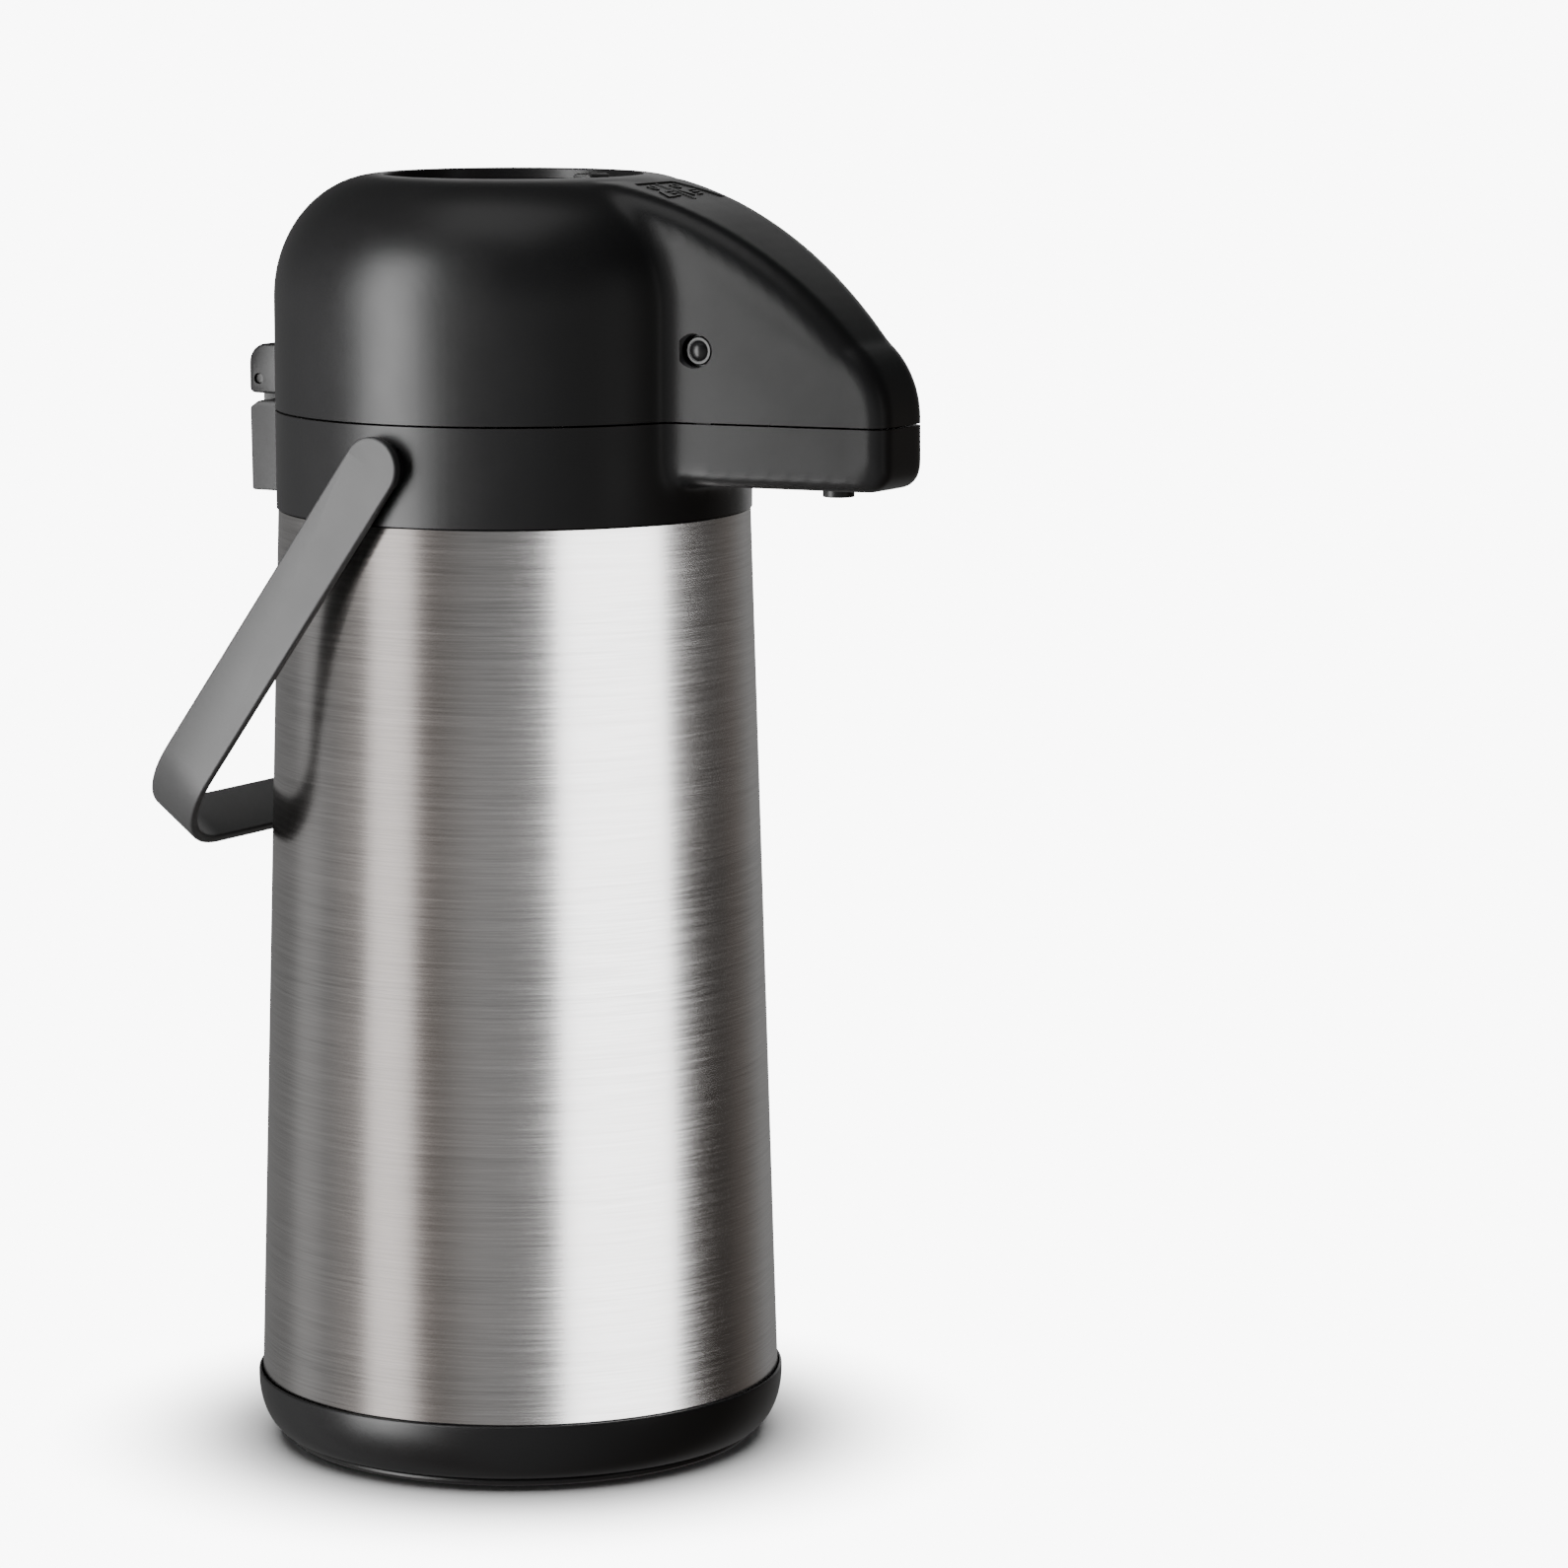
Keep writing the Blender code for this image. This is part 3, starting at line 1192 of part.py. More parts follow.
def main():
    clear_scene()
    black = finish("black_plastic", (0.012, 0.012, 0.013), 0.38)
    rubber = finish("black_rubber", (0.02, 0.02, 0.02), 0.75)
    silicone = finish("grey_silicone", (0.45, 0.45, 0.44), 0.55)
    clear = finish("clear_tube", (0.75, 0.77, 0.76), 0.3)
    brushed = finish("brushed_steel", (0.56, 0.54, 0.52), 0.3, 1.0)
    steel = finish("plain_steel", (0.6, 0.6, 0.6), 0.35, 1.0)

    foot = axis_empty("foot_axis", (0, 0, 0))
    pot = axis_empty("pot_axis", (0, 0, 0), foot)
    lid = axis_empty("lid_axis", (HINGE_X, 0, HINGE_Z), pot)
    button = axis_empty("push_button_axis", (0, 0, RIM - BUTTON_SINK), lid)
    lock = axis_empty("lock_axis", (WELL_R - LOCK_KNOB_IN - LOCK_KNOB / 2, 0, lock_low()), button)
    release_right = axis_empty("release_right_axis", release_place(0), lid)
    release_left = axis_empty("release_left_axis", release_place(0), lid)
    handle = axis_empty("handle_axis", (0, 0, PIVOT_Z), pot)

    build_foot(foot, black, rubber, steel)
    build_base(pot, black)
    vessel_floor = build_steel(pot, brushed, steel)
    skirt_low = build_mouth(pot, black, silicone)
    build_tube(pot, skirt_low, vessel_floor, (black, clear, silicone, steel))
    build_outlet(pot, black, clear, silicone)
    build_collar(pot, black)
    build_hinge(pot, black, steel)
    build_lid_cover(lid, black)
    build_lid_base(lid, black, silicone, steel)
    build_bellows(lid, rubber, black, steel)
    build_button(button, lock, black, rubber)
    build_release("right", -1, release_right, black)
    end = build_release("left", 1, release_left, black)
    build_latch_spring(lid, end, steel)
    build_handle(handle, black)


main()
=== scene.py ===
import json
import math

import bmesh
import bpy
from mathutils import Matrix, Vector
from mathutils.kdtree import KDTree


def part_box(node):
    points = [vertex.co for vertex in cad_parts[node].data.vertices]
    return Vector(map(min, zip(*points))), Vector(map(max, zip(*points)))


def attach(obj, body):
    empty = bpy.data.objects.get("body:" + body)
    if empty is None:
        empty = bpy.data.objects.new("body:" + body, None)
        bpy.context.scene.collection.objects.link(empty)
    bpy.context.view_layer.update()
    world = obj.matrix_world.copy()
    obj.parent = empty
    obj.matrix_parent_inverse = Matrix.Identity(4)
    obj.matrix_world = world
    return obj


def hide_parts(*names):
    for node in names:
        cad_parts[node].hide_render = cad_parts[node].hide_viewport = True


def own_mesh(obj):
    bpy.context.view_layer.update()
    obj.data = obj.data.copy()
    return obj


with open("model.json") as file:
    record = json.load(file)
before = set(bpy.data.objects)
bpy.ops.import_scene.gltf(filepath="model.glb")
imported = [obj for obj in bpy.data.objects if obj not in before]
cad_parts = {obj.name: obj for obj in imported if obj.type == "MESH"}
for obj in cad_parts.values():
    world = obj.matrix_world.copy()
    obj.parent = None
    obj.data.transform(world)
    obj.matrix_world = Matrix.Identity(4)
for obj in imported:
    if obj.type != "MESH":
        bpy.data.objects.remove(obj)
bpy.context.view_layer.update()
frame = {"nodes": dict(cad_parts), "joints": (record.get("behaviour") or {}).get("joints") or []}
nodes = frame["nodes"]
print("frame:", len(nodes), "nodes")

mm = 0.001
sideways = Matrix.Rotation(math.pi / 2, 3, "X")  # turns +Z to -Y
forward = Matrix.Rotation(math.pi / 2, 3, "Y")  # turns +Z to +X


def lowOf(node):
    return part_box(node)[0]


def highOf(node):
    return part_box(node)[1]


def middleOf(node):
    return (lowOf(node) + highOf(node)) / 2


# places and radii that several pieces share, all from the frame
seam = lowOf("lid_cover").z
collarTop = highOf("collar").z
collarLow = lowOf("collar").z
rim = highOf("lid_cover").z
domeRadius = highOf("lid_cover").y
tipX = highOf("collar").x
hingeX = middleOf("hinge_pin").x
hingeZ = middleOf("hinge_pin").z
releaseX = middleOf("release_button_right").x
releaseZ = highOf("release_button_right").z - 6 * mm
pivotZ = next(j["pos_m"][2] for j in frame["joints"] if j["name"] == "handle_swing")
baseTop = highOf("base_ring").z
baseLow = lowOf("base_ring").z
mouthTop = highOf("mouth_ring").z
buttonTop = highOf("push_button").z


# outlines: lists of (r, z) or (x, z)
def arcPoints(centre, radii, start, end, steps):
    across, up = radii
    angles = [math.radians(start + (end - start) * i / steps) for i in range(steps + 1)]
    return [(centre[0] + across * math.cos(a), centre[1] + up * math.sin(a)) for a in angles]


def arcThrough(a, b, c, steps):
    d = 2 * (a[0] * (b[1] - c[1]) + b[0] * (c[1] - a[1]) + c[0] * (a[1] - b[1]))
    sizes = [p[0] ** 2 + p[1] ** 2 for p in (a, b, c)]
    x = (sizes[0] * (b[1] - c[1]) + sizes[1] * (c[1] - a[1]) + sizes[2] * (a[1] - b[1])) / d
    z = (sizes[0] * (c[0] - b[0]) + sizes[1] * (a[0] - c[0]) + sizes[2] * (b[0] - a[0])) / d
    radius = math.dist(a, (x, z))
    start = math.degrees(math.atan2(a[1] - z, a[0] - x))
    end = math.degrees(math.atan2(c[1] - z, c[0] - x))
    return arcPoints((x, z), (radius, radius), start, end, steps)


def softened(outline, radius, steps=3):
    # rounds every corner that isn't on the axis
    done = []
    for i, point in enumerate(outline):
        here = Vector(point)
        if here.x < 1e-9:
            done.append(tuple(here))
            continue
        back = Vector(outline[i - 1]) - here
        ahead = Vector(outline[(i + 1) % len(outline)]) - here
        reach = min(radius, back.length * 0.45, ahead.length * 0.45)
        a = here + back.normalized() * reach
        b = here + ahead.normalized() * reach
        for k in range(steps + 1):
            t = k / steps
            done.append(tuple(a * (1 - t) ** 2 + here * 2 * t * (1 - t) + b * t * t))
    return done


# shapes
def closeUp(bm):
    bmesh.ops.remove_doubles(bm, verts=bm.verts, dist=0.002 * mm)
    bmesh.ops.recalc_face_normals(bm, faces=bm.faces)
    return bm


def spun(outline, steps=160):
    bm = bmesh.new()
    verts = [bm.verts.new((r, 0, z)) for r, z in outline]
    edges = [bm.edges.new(pair) for pair in zip(verts, verts[1:])]
    if outline[0][0] or outline[-1][0]:
        edges.append(bm.edges.new((verts[-1], verts[0])))
    bmesh.ops.spin(
        bm, geom=verts + edges, cent=(0, 0, 0), axis=(0, 0, 1), angle=math.tau, steps=steps, use_merge=True
    )
    return closeUp(bm)


def rod(radius, low, high, steps=48, soft=0.0):
    outline = [(0, low), (radius, low), (radius, high), (0, high)]
    return spun(softened(outline, soft) if soft else outline, steps)


def slab(outline, low, high):
    bm = bmesh.new()
    face = bm.faces.new([bm.verts.new((x, low, z)) for x, z in outline])
    grown = bmesh.ops.extrude_face_region(bm, geom=[face])["geom"]
    top = [part for part in grown if isinstance(part, bmesh.types.BMVert)]
    bmesh.ops.translate(bm, vec=(0, high - low, 0), verts=top)
    return closeUp(bm)


def block(low, high):
    bm = bmesh.new()
    bmesh.ops.create_cube(bm, size=1)
    bmesh.ops.scale(bm, vec=[b - a for a, b in zip(low, high)], verts=bm.verts)
    bmesh.ops.translate(bm, vec=[(a + b) / 2 for a, b in zip(low, high)], verts=bm.verts)
    return bm


def bevelled(bm, offset, segments=3, sharper=30):
    edges = [e for e in bm.edges if e.is_manifold and e.calc_face_angle(0) > math.radians(sharper)]
    bmesh.ops.bevel(
        bm,
        geom=edges,
        offset=offset,
        segments=segments,
        profile=0.5,
        affect="EDGES",
        material=-1,
        clamp_overlap=True,
    )
    return closeUp(bm)


def placed(bm, place=(0, 0, 0), turn=None):
    if turn:
        bmesh.ops.rotate(bm, cent=(0, 0, 0), matrix=turn, verts=bm.verts)
    bmesh.ops.translate(bm, vec=place, verts=bm.verts)
    return bm


def joined(*parts):
    bm = bmesh.new()
    for part in parts:
        mesh = bpy.data.meshes.new("part")
        part.to_mesh(mesh)
        part.free()
        bm.from_mesh(mesh)
        bpy.data.meshes.remove(mesh)
    return bm


# objects
def toObject(name, bm):
    mesh = bpy.data.meshes.new(name)
    bm.to_mesh(mesh)
    bm.free()
    obj = bpy.data.objects.new(name, mesh)
    bpy.context.scene.collection.objects.link(obj)
    return obj


def settle(obj):
    # every modifier becomes part of the mesh
    bpy.context.view_layer.update()
    graph = bpy.context.evaluated_depsgraph_get()
    before = obj.data
    made = bpy.data.meshes.new_from_object(obj.evaluated_get(graph))
    obj.modifiers.clear()
    obj.data = made
    made.name = obj.name
    bpy.data.meshes.remove(before)
    return obj


def carve(obj, tool, operation="DIFFERENCE"):
    helper = toObject("tool", tool)
    cut = obj.modifiers.new("cut", "BOOLEAN")
    cut.operation = operation
    cut.solver = "MANIFOLD"
    cut.object = helper
    settle(obj)
    mesh = helper.data
    bpy.data.objects.remove(helper)
    bpy.data.meshes.remove(mesh)
    return obj


def unite(obj, tool):
    return carve(obj, tool, "UNION")


def dress(obj, body, material, stoodFor=(), sharper=36):
    obj.data.materials.clear()
    obj.data.materials.append(material)
    obj.data.polygons.foreach_set("material_index", [0] * len(obj.data.polygons))
    obj.data.shade_smooth()
    obj.data.set_sharp_from_angle(angle=math.radians(sharper))
    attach(obj, body)
    if stoodFor:
        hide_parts(*stoodFor)
    return obj


# the spout's side view, for an inset from its skin
spout = {"tipHalf": 13.5 * mm, "taper": 0.148, "drop": 18.2 * mm, "edge": 5.5 * mm, "toe": 6.5 * mm}
spout.update({"shoulder": 7.5 * mm, "nose": 26 * mm, "floor": 2.2 * mm, "wall": 2.5 * mm})
wellRadius = 38.4 * mm
rimRadius = wellRadius + 0.6 * mm
sleeve = {"radius": wellRadius + 2 * mm, "low": rim - 35 * mm}


def spoutHalf(x):
    return spout["tipHalf"] + (tipX - x) * spout["taper"]


def upperSide(inset, low, root):
    nose = arcThrough(
        (tipX - inset, seam + 2 * mm),
        (tipX - 2.7 * mm - inset, seam + 13.6 * mm),
        (tipX - 10.7 * mm - inset * 0.8, seam + 23.2 * mm - inset * 0.6),
        12,
    )
    rootZ = rim - mm - inset
    back = arcThrough(
        nose[-1],
        (domeRadius + 19.8 * mm - inset * 0.5, rim - 18.6 * mm - inset * 0.9),
        (rimRadius + 6.6 * mm, rootZ),
        20,
    )
    return [(root, low), (tipX - inset, low), *nose, *back[1:], (root, rootZ)]


def lowerSide(inset, top, root):
    low = collarTop - spout["drop"] + inset
    toe = arcPoints((tipX - spout["toe"] - inset, low + spout["toe"]), (spout["toe"],) * 2, -90, 0, 8)
    return [(root, top), (root, low), *toe, (tipX - inset, top)]


def wholeSide(inset):
    root = rimRadius + 2 * mm
    return lowerSide(inset, seam, root)[1:-1] + upperSide(inset, seam, root)[2:]


def spoutSolid(side, wall=0.0, steps=8):
    # slices across the spout, each set in as the edges' rounding asks, bridged one to the next
    bm = bmesh.new()
    sharp, moved = side(wall), side(wall + mm)
    turns = [math.pi / 2 * i / steps for i in range(steps + 1)]
    loops = []
    for sign, turn in [(-1, t) for t in turns] + [(1, t) for t in reversed(turns)]:
        ringVerts = []
        for (x0, z0), (x1, z1) in zip(sharp, moved):
            grown = min(max((z0 - seam) / spout["nose"], 0), 1)
            radius = spout["edge"] + (spout["shoulder"] - spout["edge"]) * grown - wall
            inset = radius * (1 - math.sin(turn)) / mm
            half = spoutHalf(x0) - wall - radius * (1 - math.cos(turn))
            ringVerts.append(bm.verts.new((x0 + (x1 - x0) * inset, sign * half, z0 + (z1 - z0) * inset)))
        pairs = zip(ringVerts, ringVerts[1:] + ringVerts[:1])
        loops.append([bm.edges.new(pair) for pair in pairs])
    for a, b in zip(loops, loops[1:]):
        bmesh.ops.bridge_loops(bm, edges=a + b)
    for end in (loops[0], loops[-1]):
        bmesh.ops.edgeloop_fill(bm, edges=end)
    return closeUp(bm)


def domeLine(inset, steps, last):
    crown = seam + 32.7 * mm
    radii = (domeRadius - rimRadius - inset, rim - crown - inset)
    return arcPoints((rimRadius, crown), radii, 0, last, steps)


# The head: dome, collar and spout grown together, then parted at the seam
head = {"skirt": 4 * mm, "voxel": 0.95 * mm, "evenRounds": 5, "blendReach": 11 * mm, "blendRounds": 70}
head.update({"from": 0.3, "clearOfRim": 3 * mm, "hollow": 0.035 * mm})
domeOutline = [(0, collarLow - head["skirt"]), (domeRadius, collarLow - head["skirt"])]
domeOutline += [*domeLine(0, 32, 90), (0, rim)]
headShape = toObject("head", spun(domeOutline, 144))
unite(headShape, spoutSolid(wholeSide))
grow = headShape.modifiers.new("grow", "REMESH")
grow.mode = "VOXEL"
grow.voxel_size = head["voxel"]
even = headShape.modifiers.new("even", "SMOOTH")
even.factor = 0.5
even.iterations = head["evenRounds"]
settle(headShape)


def weighHollows(obj, reach):
    # weights every point by how near it is to an inner corner on the spout's side
    bm = bmesh.new()
    bm.from_mesh(obj.data)
    bm.normal_update()
    seeds = []
    for vert in bm.verts:
        if vert.co.x < head["from"] * domeRadius or vert.co.z > rim - head["clearOfRim"]:
            continue
        around = [edge.other_vert(vert).co for edge in vert.link_edges]
        lift = sum(((co - vert.co).dot(vert.normal) for co in around), 0.0) / len(around)
        if lift > head["hollow"]:
            seeds.append(vert.co.copy())
    tree = KDTree(len(seeds))
    for i, co in enumerate(seeds):
        tree.insert(co, i)
    tree.balance()
    group = obj.vertex_groups.new(name="hollows")
    for vert in bm.verts:
        near = tree.find(vert.co)[2]
        if near < reach:
            group.add([vert.index], 1 - near / reach, "REPLACE")
    bm.free()
    return len(seeds)


print("hollow points:", weighHollows(headShape, head["blendReach"]))
melt = headShape.modifiers.new("melt", "SMOOTH")
melt.factor = 0.5
melt.iterations = head["blendRounds"]
melt.vertex_group = "hollows"
settle(headShape)
headShape.vertex_groups.clear()
print("head:", len(headShape.data.polygons), "faces")


def sliceOfHead(name, low, high):
    obj = toObject(name, bmesh.new())
    obj.data = headShape.data.copy()
    obj.data.name = name
    wide = 0.3
    return carve(obj, block((-wide, -wide, low), (wide, wide, high)), "INTERSECT")


lidCover = sliceOfHead("lid_shell", seam, rim + 20 * mm)
collar = sliceOfHead("collar_shell", collarLow, collarTop)
helperMesh = headShape.data
bpy.data.objects.remove(headShape)
bpy.data.meshes.remove(helperMesh)
print("head parted at the seam")


# Finishes
def shade(tree, kind, inputs=None, **settings):
    made = tree.nodes.new("ShaderNode" + kind)
    for key, value in settings.items():
        setattr(made, key, value)
    for key, value in (inputs or {}).items():
        if isinstance(value, bpy.types.NodeSocket):
            tree.links.new(value, made.inputs[key])
        else:
            made.inputs[key].default_value = value
    return made


def newGroup(name, takes, gives):
    tree = bpy.data.node_groups.new(name, "ShaderNodeTree")
    for label, value in takes.items():
        socket = tree.interface.new_socket(label, in_out="INPUT", socket_type="NodeSocketFloat")
        socket.default_value = value
    for label, kind in gives.items():
        tree.interface.new_socket(label, in_out="OUTPUT", socket_type="NodeSocket" + kind)
    return tree, tree.nodes.new("NodeGroupInput").outputs, tree.nodes.new("NodeGroupOutput").inputs


def mouldedGroup():
    # fine moulded grain, with broad patches that shine a little more or less
    tree, taken, given = newGroup(
        "moulded",
        {"Grain": 1400.0, "Depth": 0.00004, "Patches": 22.0},
        {"Normal": "Vector", "Patch": "Float"},
    )
    place = shade(tree, "TexCoord").outputs["Object"]
    grain = {"Vector": place, "Scale": taken["Grain"], "Detail": 2.0, "Roughness": 0.6}
    fine = shade(tree, "TexNoise", grain)
    bump = shade(tree, "Bump", {"Height": fine.outputs["Fac"], "Strength": 0.35, "Distance": taken["Depth"]})
    patches = {"Vector": place, "Scale": taken["Patches"], "Detail": 4.0, "Roughness": 0.65}
    broad = shade(tree, "TexNoise", patches)
    spread = shade(tree, "MapRange", {"Value": broad.outputs["Fac"], "From Min": 0.32, "From Max": 0.68})
    tree.links.new(bump.outputs["Normal"], given["Normal"])
    tree.links.new(spread.outputs["Result"], given["Patch"])
    return tree


def dustGroup():
    # a thin veil on faces that look up, broken by specks
    tree, taken, given = newGroup("dust", {"Specks": 420.0, "Veil": 0.25}, {"Amount": "Float"})
    place = shade(tree, "TexCoord").outputs["Object"]
    normal = shade(tree, "SeparateXYZ", {"Vector": shade(tree, "NewGeometry").outputs["Normal"]}).outputs["Z"]
    facing = shade(tree, "MapRange", {"Value": normal, "From Min": 0.35, "From Max": 1.0})
    specks = shade(tree, "TexNoise", {"Vector": place, "Scale": taken["Specks"], "Detail": 3.0})
    sharp = shade(tree, "MapRange", {"Value": specks.outputs["Fac"], "From Min": 0.6, "From Max": 0.75})
    cloud = shade(tree, "TexNoise", {"Vector": place, "Scale": 30.0, "Detail": 3.0})
    both = shade(tree, "Math", {0: sharp.outputs["Result"], 1: cloud.outputs["Fac"]}, operation="MAXIMUM")
    thin = shade(tree, "Math", {0: both.outputs["Value"], 1: taken["Veil"]}, operation="MULTIPLY")
    held = shade(tree, "Math", {0: thin.outputs["Value"], 1: facing.outputs["Result"]}, operation="MULTIPLY")
    tree.links.new(held.outputs["Value"], given["Amount"])
    return tree


def brushedGroup():
    # long thin lines that run round the body, and wide soft bands from rolling
    tree, taken, given = newGroup(
        "brushed",
        {"Along": 26.0, "Across": 2600.0, "Depth": 0.00001},
        {"Normal": "Vector", "Lines": "Float", "Bands": "Float"},
    )
    place = shade(tree, "TexCoord").outputs["Object"]
    size = shade(tree, "CombineXYZ", {"X": taken["Along"], "Y": taken["Along"], "Z": taken["Across"]})
    along = {0: place, 1: size.outputs["Vector"]}
    stretched = shade(tree, "VectorMath", along, operation="MULTIPLY").outputs[0]
    lines = shade(tree, "TexNoise", {"Vector": stretched, "Scale": 1.0, "Detail": 4.0, "Roughness": 0.7})
    bump = shade(tree, "Bump", {"Height": lines.outputs["Fac"], "Strength": 0.3, "Distance": taken["Depth"]})
    wide = shade(tree, "VectorMath", {0: stretched, 1: (0.12, 0.12, 0.03)}, operation="MULTIPLY").outputs[0]
    bands = shade(tree, "TexNoise", {"Vector": wide, "Scale": 1.0, "Detail": 3.0, "Roughness": 0.6})
    tree.links.new(bump.outputs["Normal"], given["Normal"])
    tree.links.new(lines.outputs["Fac"], given["Lines"])
    tree.links.new(bands.outputs["Fac"], given["Bands"])
    return tree


moulded, dusty, brushed = mouldedGroup(), dustGroup(), brushedGroup()


def newMaterial(name):
    material = bpy.data.materials.new(name)
    material.use_nodes = True
    tree = material.node_tree
    return material, tree, tree.nodes["Principled BSDF"]


def grouped(tree, group, values):
    made = tree.nodes.new("ShaderNodeGroup")
    made.node_tree = group
    for key, value in values.items():
        made.inputs[key].default_value = value
    return made.outputs


def mixed(tree, amount, a, b):
    mix = shade(tree, "Mix", {"Factor": amount}, data_type="RGBA")
    for socket, value in ((mix.inputs[6], a), (mix.inputs[7], b)):
        if isinstance(value, bpy.types.NodeSocket):
            tree.links.new(value, socket)
        else:
            socket.default_value = (*value, 1)
    return mix.outputs[2]


def plastic(name, look):
    material, tree, shader = newMaterial(name)
    skin = grouped(tree, moulded, {"Grain": look["grain"], "Depth": look["depth"]})
    dust = grouped(tree, dusty, {"Veil": look["dust"]})
    body = mixed(tree, skin["Patch"], look["colour"], [c * look["patch"] for c in look["colour"]])
    tree.links.new(mixed(tree, dust["Amount"], body, (0.30, 0.29, 0.27)), shader.inputs["Base Color"])
    spread = {"Value": skin["Patch"], "To Min": look["rough"] - 0.04, "To Max": look["rough"] + 0.04}
    rough = shade(tree, "MapRange", spread)
    tree.links.new(rough.outputs["Result"], shader.inputs["Roughness"])
    tree.links.new(skin["Normal"], shader.inputs["Normal"])
    shader.inputs["Specular IOR Level"].default_value = look["shine"]
    return material


def metal(name, look):
    material, tree, shader = newMaterial(name)
    grain = grouped(tree, brushed, {"Along": look["along"], "Across": look["across"], "Depth": look["depth"]})
    patch = grouped(tree, moulded, {"Patches": 9.0})["Patch"]
    spread = shade(tree, "MapRange", {"Value": grain["Lines"], "From Min": 0.3, "From Max": 0.7})
    dark = [c * look["contrast"] for c in look["colour"]]
    lined = mixed(tree, spread.outputs["Result"], dark, look["colour"])
    tree.links.new(mixed(tree, grain["Bands"], lined, look["tint"]), shader.inputs["Base Color"])
    gloss = {"Value": grain["Lines"], "To Min": look["rough"] - 0.05, "To Max": look["rough"] + 0.05}
    rough = shade(tree, "MapRange", gloss)
    soiled = shade(tree, "Math", {0: patch, 1: 0.03, 2: rough.outputs["Result"]}, operation="MULTIPLY_ADD")
    tree.links.new(soiled.outputs["Value"], shader.inputs["Roughness"])
    tree.links.new(grain["Normal"], shader.inputs["Normal"])
    shader.inputs["Metallic"].default_value = 1.0
    shader.inputs["Anisotropic"].default_value = look["aniso"]
    return material


satinLook = {"colour": (0.009, 0.009, 0.0095), "patch": 1.2, "rough": 0.37, "shine": 0.5}
satinLook.update({"grain": 1500.0, "depth": 0.00003, "dust": 0.03})
satin = plastic("satin_plastic", satinLook)
mattLook = {"colour": (0.030, 0.030, 0.0305), "patch": 1.15, "rough": 0.44, "shine": 0.55}
mattLook.update({"grain": 1100.0, "depth": 0.00006, "dust": 0.05})
matt = plastic("matt_plastic", mattLook)
mouldLook = {"colour": (0.046, 0.046, 0.0465), "patch": 1.12, "rough": 0.46, "shine": 0.55}
mouldLook.update({"grain": 1100.0, "depth": 0.00006, "dust": 0.05})
paleMatt = plastic("pale_matt_plastic", mouldLook)
innerLook = {"colour": (0.015, 0.015, 0.016), "patch": 1.2, "rough": 0.55, "shine": 0.4}
innerLook.update({"grain": 900.0, "depth": 0.00005, "dust": 0.02})
inner = plastic("inner_plastic", innerLook)
rubberLook = {"colour": (0.013, 0.013, 0.013), "patch": 1.3, "rough": 0.72, "shine": 0.3}
rubberLook.update({"grain": 700.0, "depth": 0.00008, "dust": 0.12})
rubber = plastic("rubber", rubberLook)
siliconeLook = {"colour": (0.42, 0.42, 0.40), "patch": 0.9, "rough": 0.5, "shine": 0.4}
siliconeLook.update({"grain": 600.0, "depth": 0.00004, "dust": 0.05})
silicone = plastic("silicone", siliconeLook)
silicone.node_tree.nodes["Principled BSDF"].inputs["Subsurface Weight"].default_value = 0.15
tubeLook = {"colour": (0.80, 0.82, 0.80), "patch": 0.95, "rough": 0.22, "shine": 0.5}
tubeLook.update({"grain": 500.0, "depth": 0.00002, "dust": 0.0})
clear = plastic("clear_tubing", tubeLook)
clear.node_tree.nodes["Principled BSDF"].inputs["Transmission Weight"].default_value = 0.75

bodyLook = {"colour": (0.67, 0.66, 0.65), "tint": (0.63, 0.605, 0.59), "rough": 0.19}
bodyLook.update({"aniso": 0.55, "along": 26.0, "across": 1500.0, "depth": 0.00005, "contrast": 0.46})
bodySteel = metal("body_steel", bodyLook)
plainLook = {"colour": (0.60, 0.60, 0.60), "tint": (0.55, 0.55, 0.54), "rough": 0.36}
plainLook.update({"aniso": 0.0, "along": 300.0, "across": 500.0, "depth": 0.00002, "contrast": 0.9})
plainSteel = metal("plain_steel", plainLook)
wireLook = {"colour": (0.52, 0.52, 0.53), "tint": (0.47, 0.46, 0.45), "rough": 0.28}
wireLook.update({"aniso": 0.0, "along": 900.0, "across": 900.0, "depth": 0.00001, "contrast": 0.85})
wire = metal("spring_wire", wireLook)
# the hinge pin's steel is made near-black as painted shade, standing in for the shade inside the pin's hole
pinShadeLook = {**wireLook, "colour": (0.07, 0.07, 0.07), "tint": (0.05, 0.05, 0.05), "rough": 0.40}
pinShadeSteel = metal("pin_steel_painted_shade", pinShadeLook)
print("finishes made")


# Sign panel on the spout's back: a shallow field, a divider, and a ring, an arrow and bars on each side
panel = {"near": 48.5 * mm, "far": 64.0 * mm, "nearHalf": 11.0 * mm, "farHalf": 15.6 * mm}
panel.update({"deep": 0.4 * mm, "low": rim - 25 * mm, "line": 0.35 * mm, "proud": 0.05 * mm})
panel.update({"groove": 0.8 * mm, "grooveDeep": 0.9 * mm})
skin = lidCover.data.copy()


def skinLowered(deep):
    bm = bmesh.new()
    bm.from_mesh(skin)
    bmesh.ops.translate(bm, vec=(0, 0, -deep), verts=bm.verts)
    return bm


def upright(outline):
    # (x, y) points made into a column
    bm = slab([(x, -y) for x, y in outline], panel["low"], rim + 5 * mm)
    bmesh.ops.rotate(bm, cent=(0, 0, 0), matrix=sideways, verts=bm.verts)
    return closeUp(bm)


def reshaped(shape, tool, operation):
    obj = carve(toObject("column", shape), tool, operation)
    bm = bmesh.new()
    bm.from_mesh(obj.data)
    mesh = obj.data
    bpy.data.objects.remove(obj)
    bpy.data.meshes.remove(mesh)
    return bm


def bar(x0, x1, y0, y1):
    return upright([(x0, y0), (x1, y0), (x1, y1), (x0, y1)])


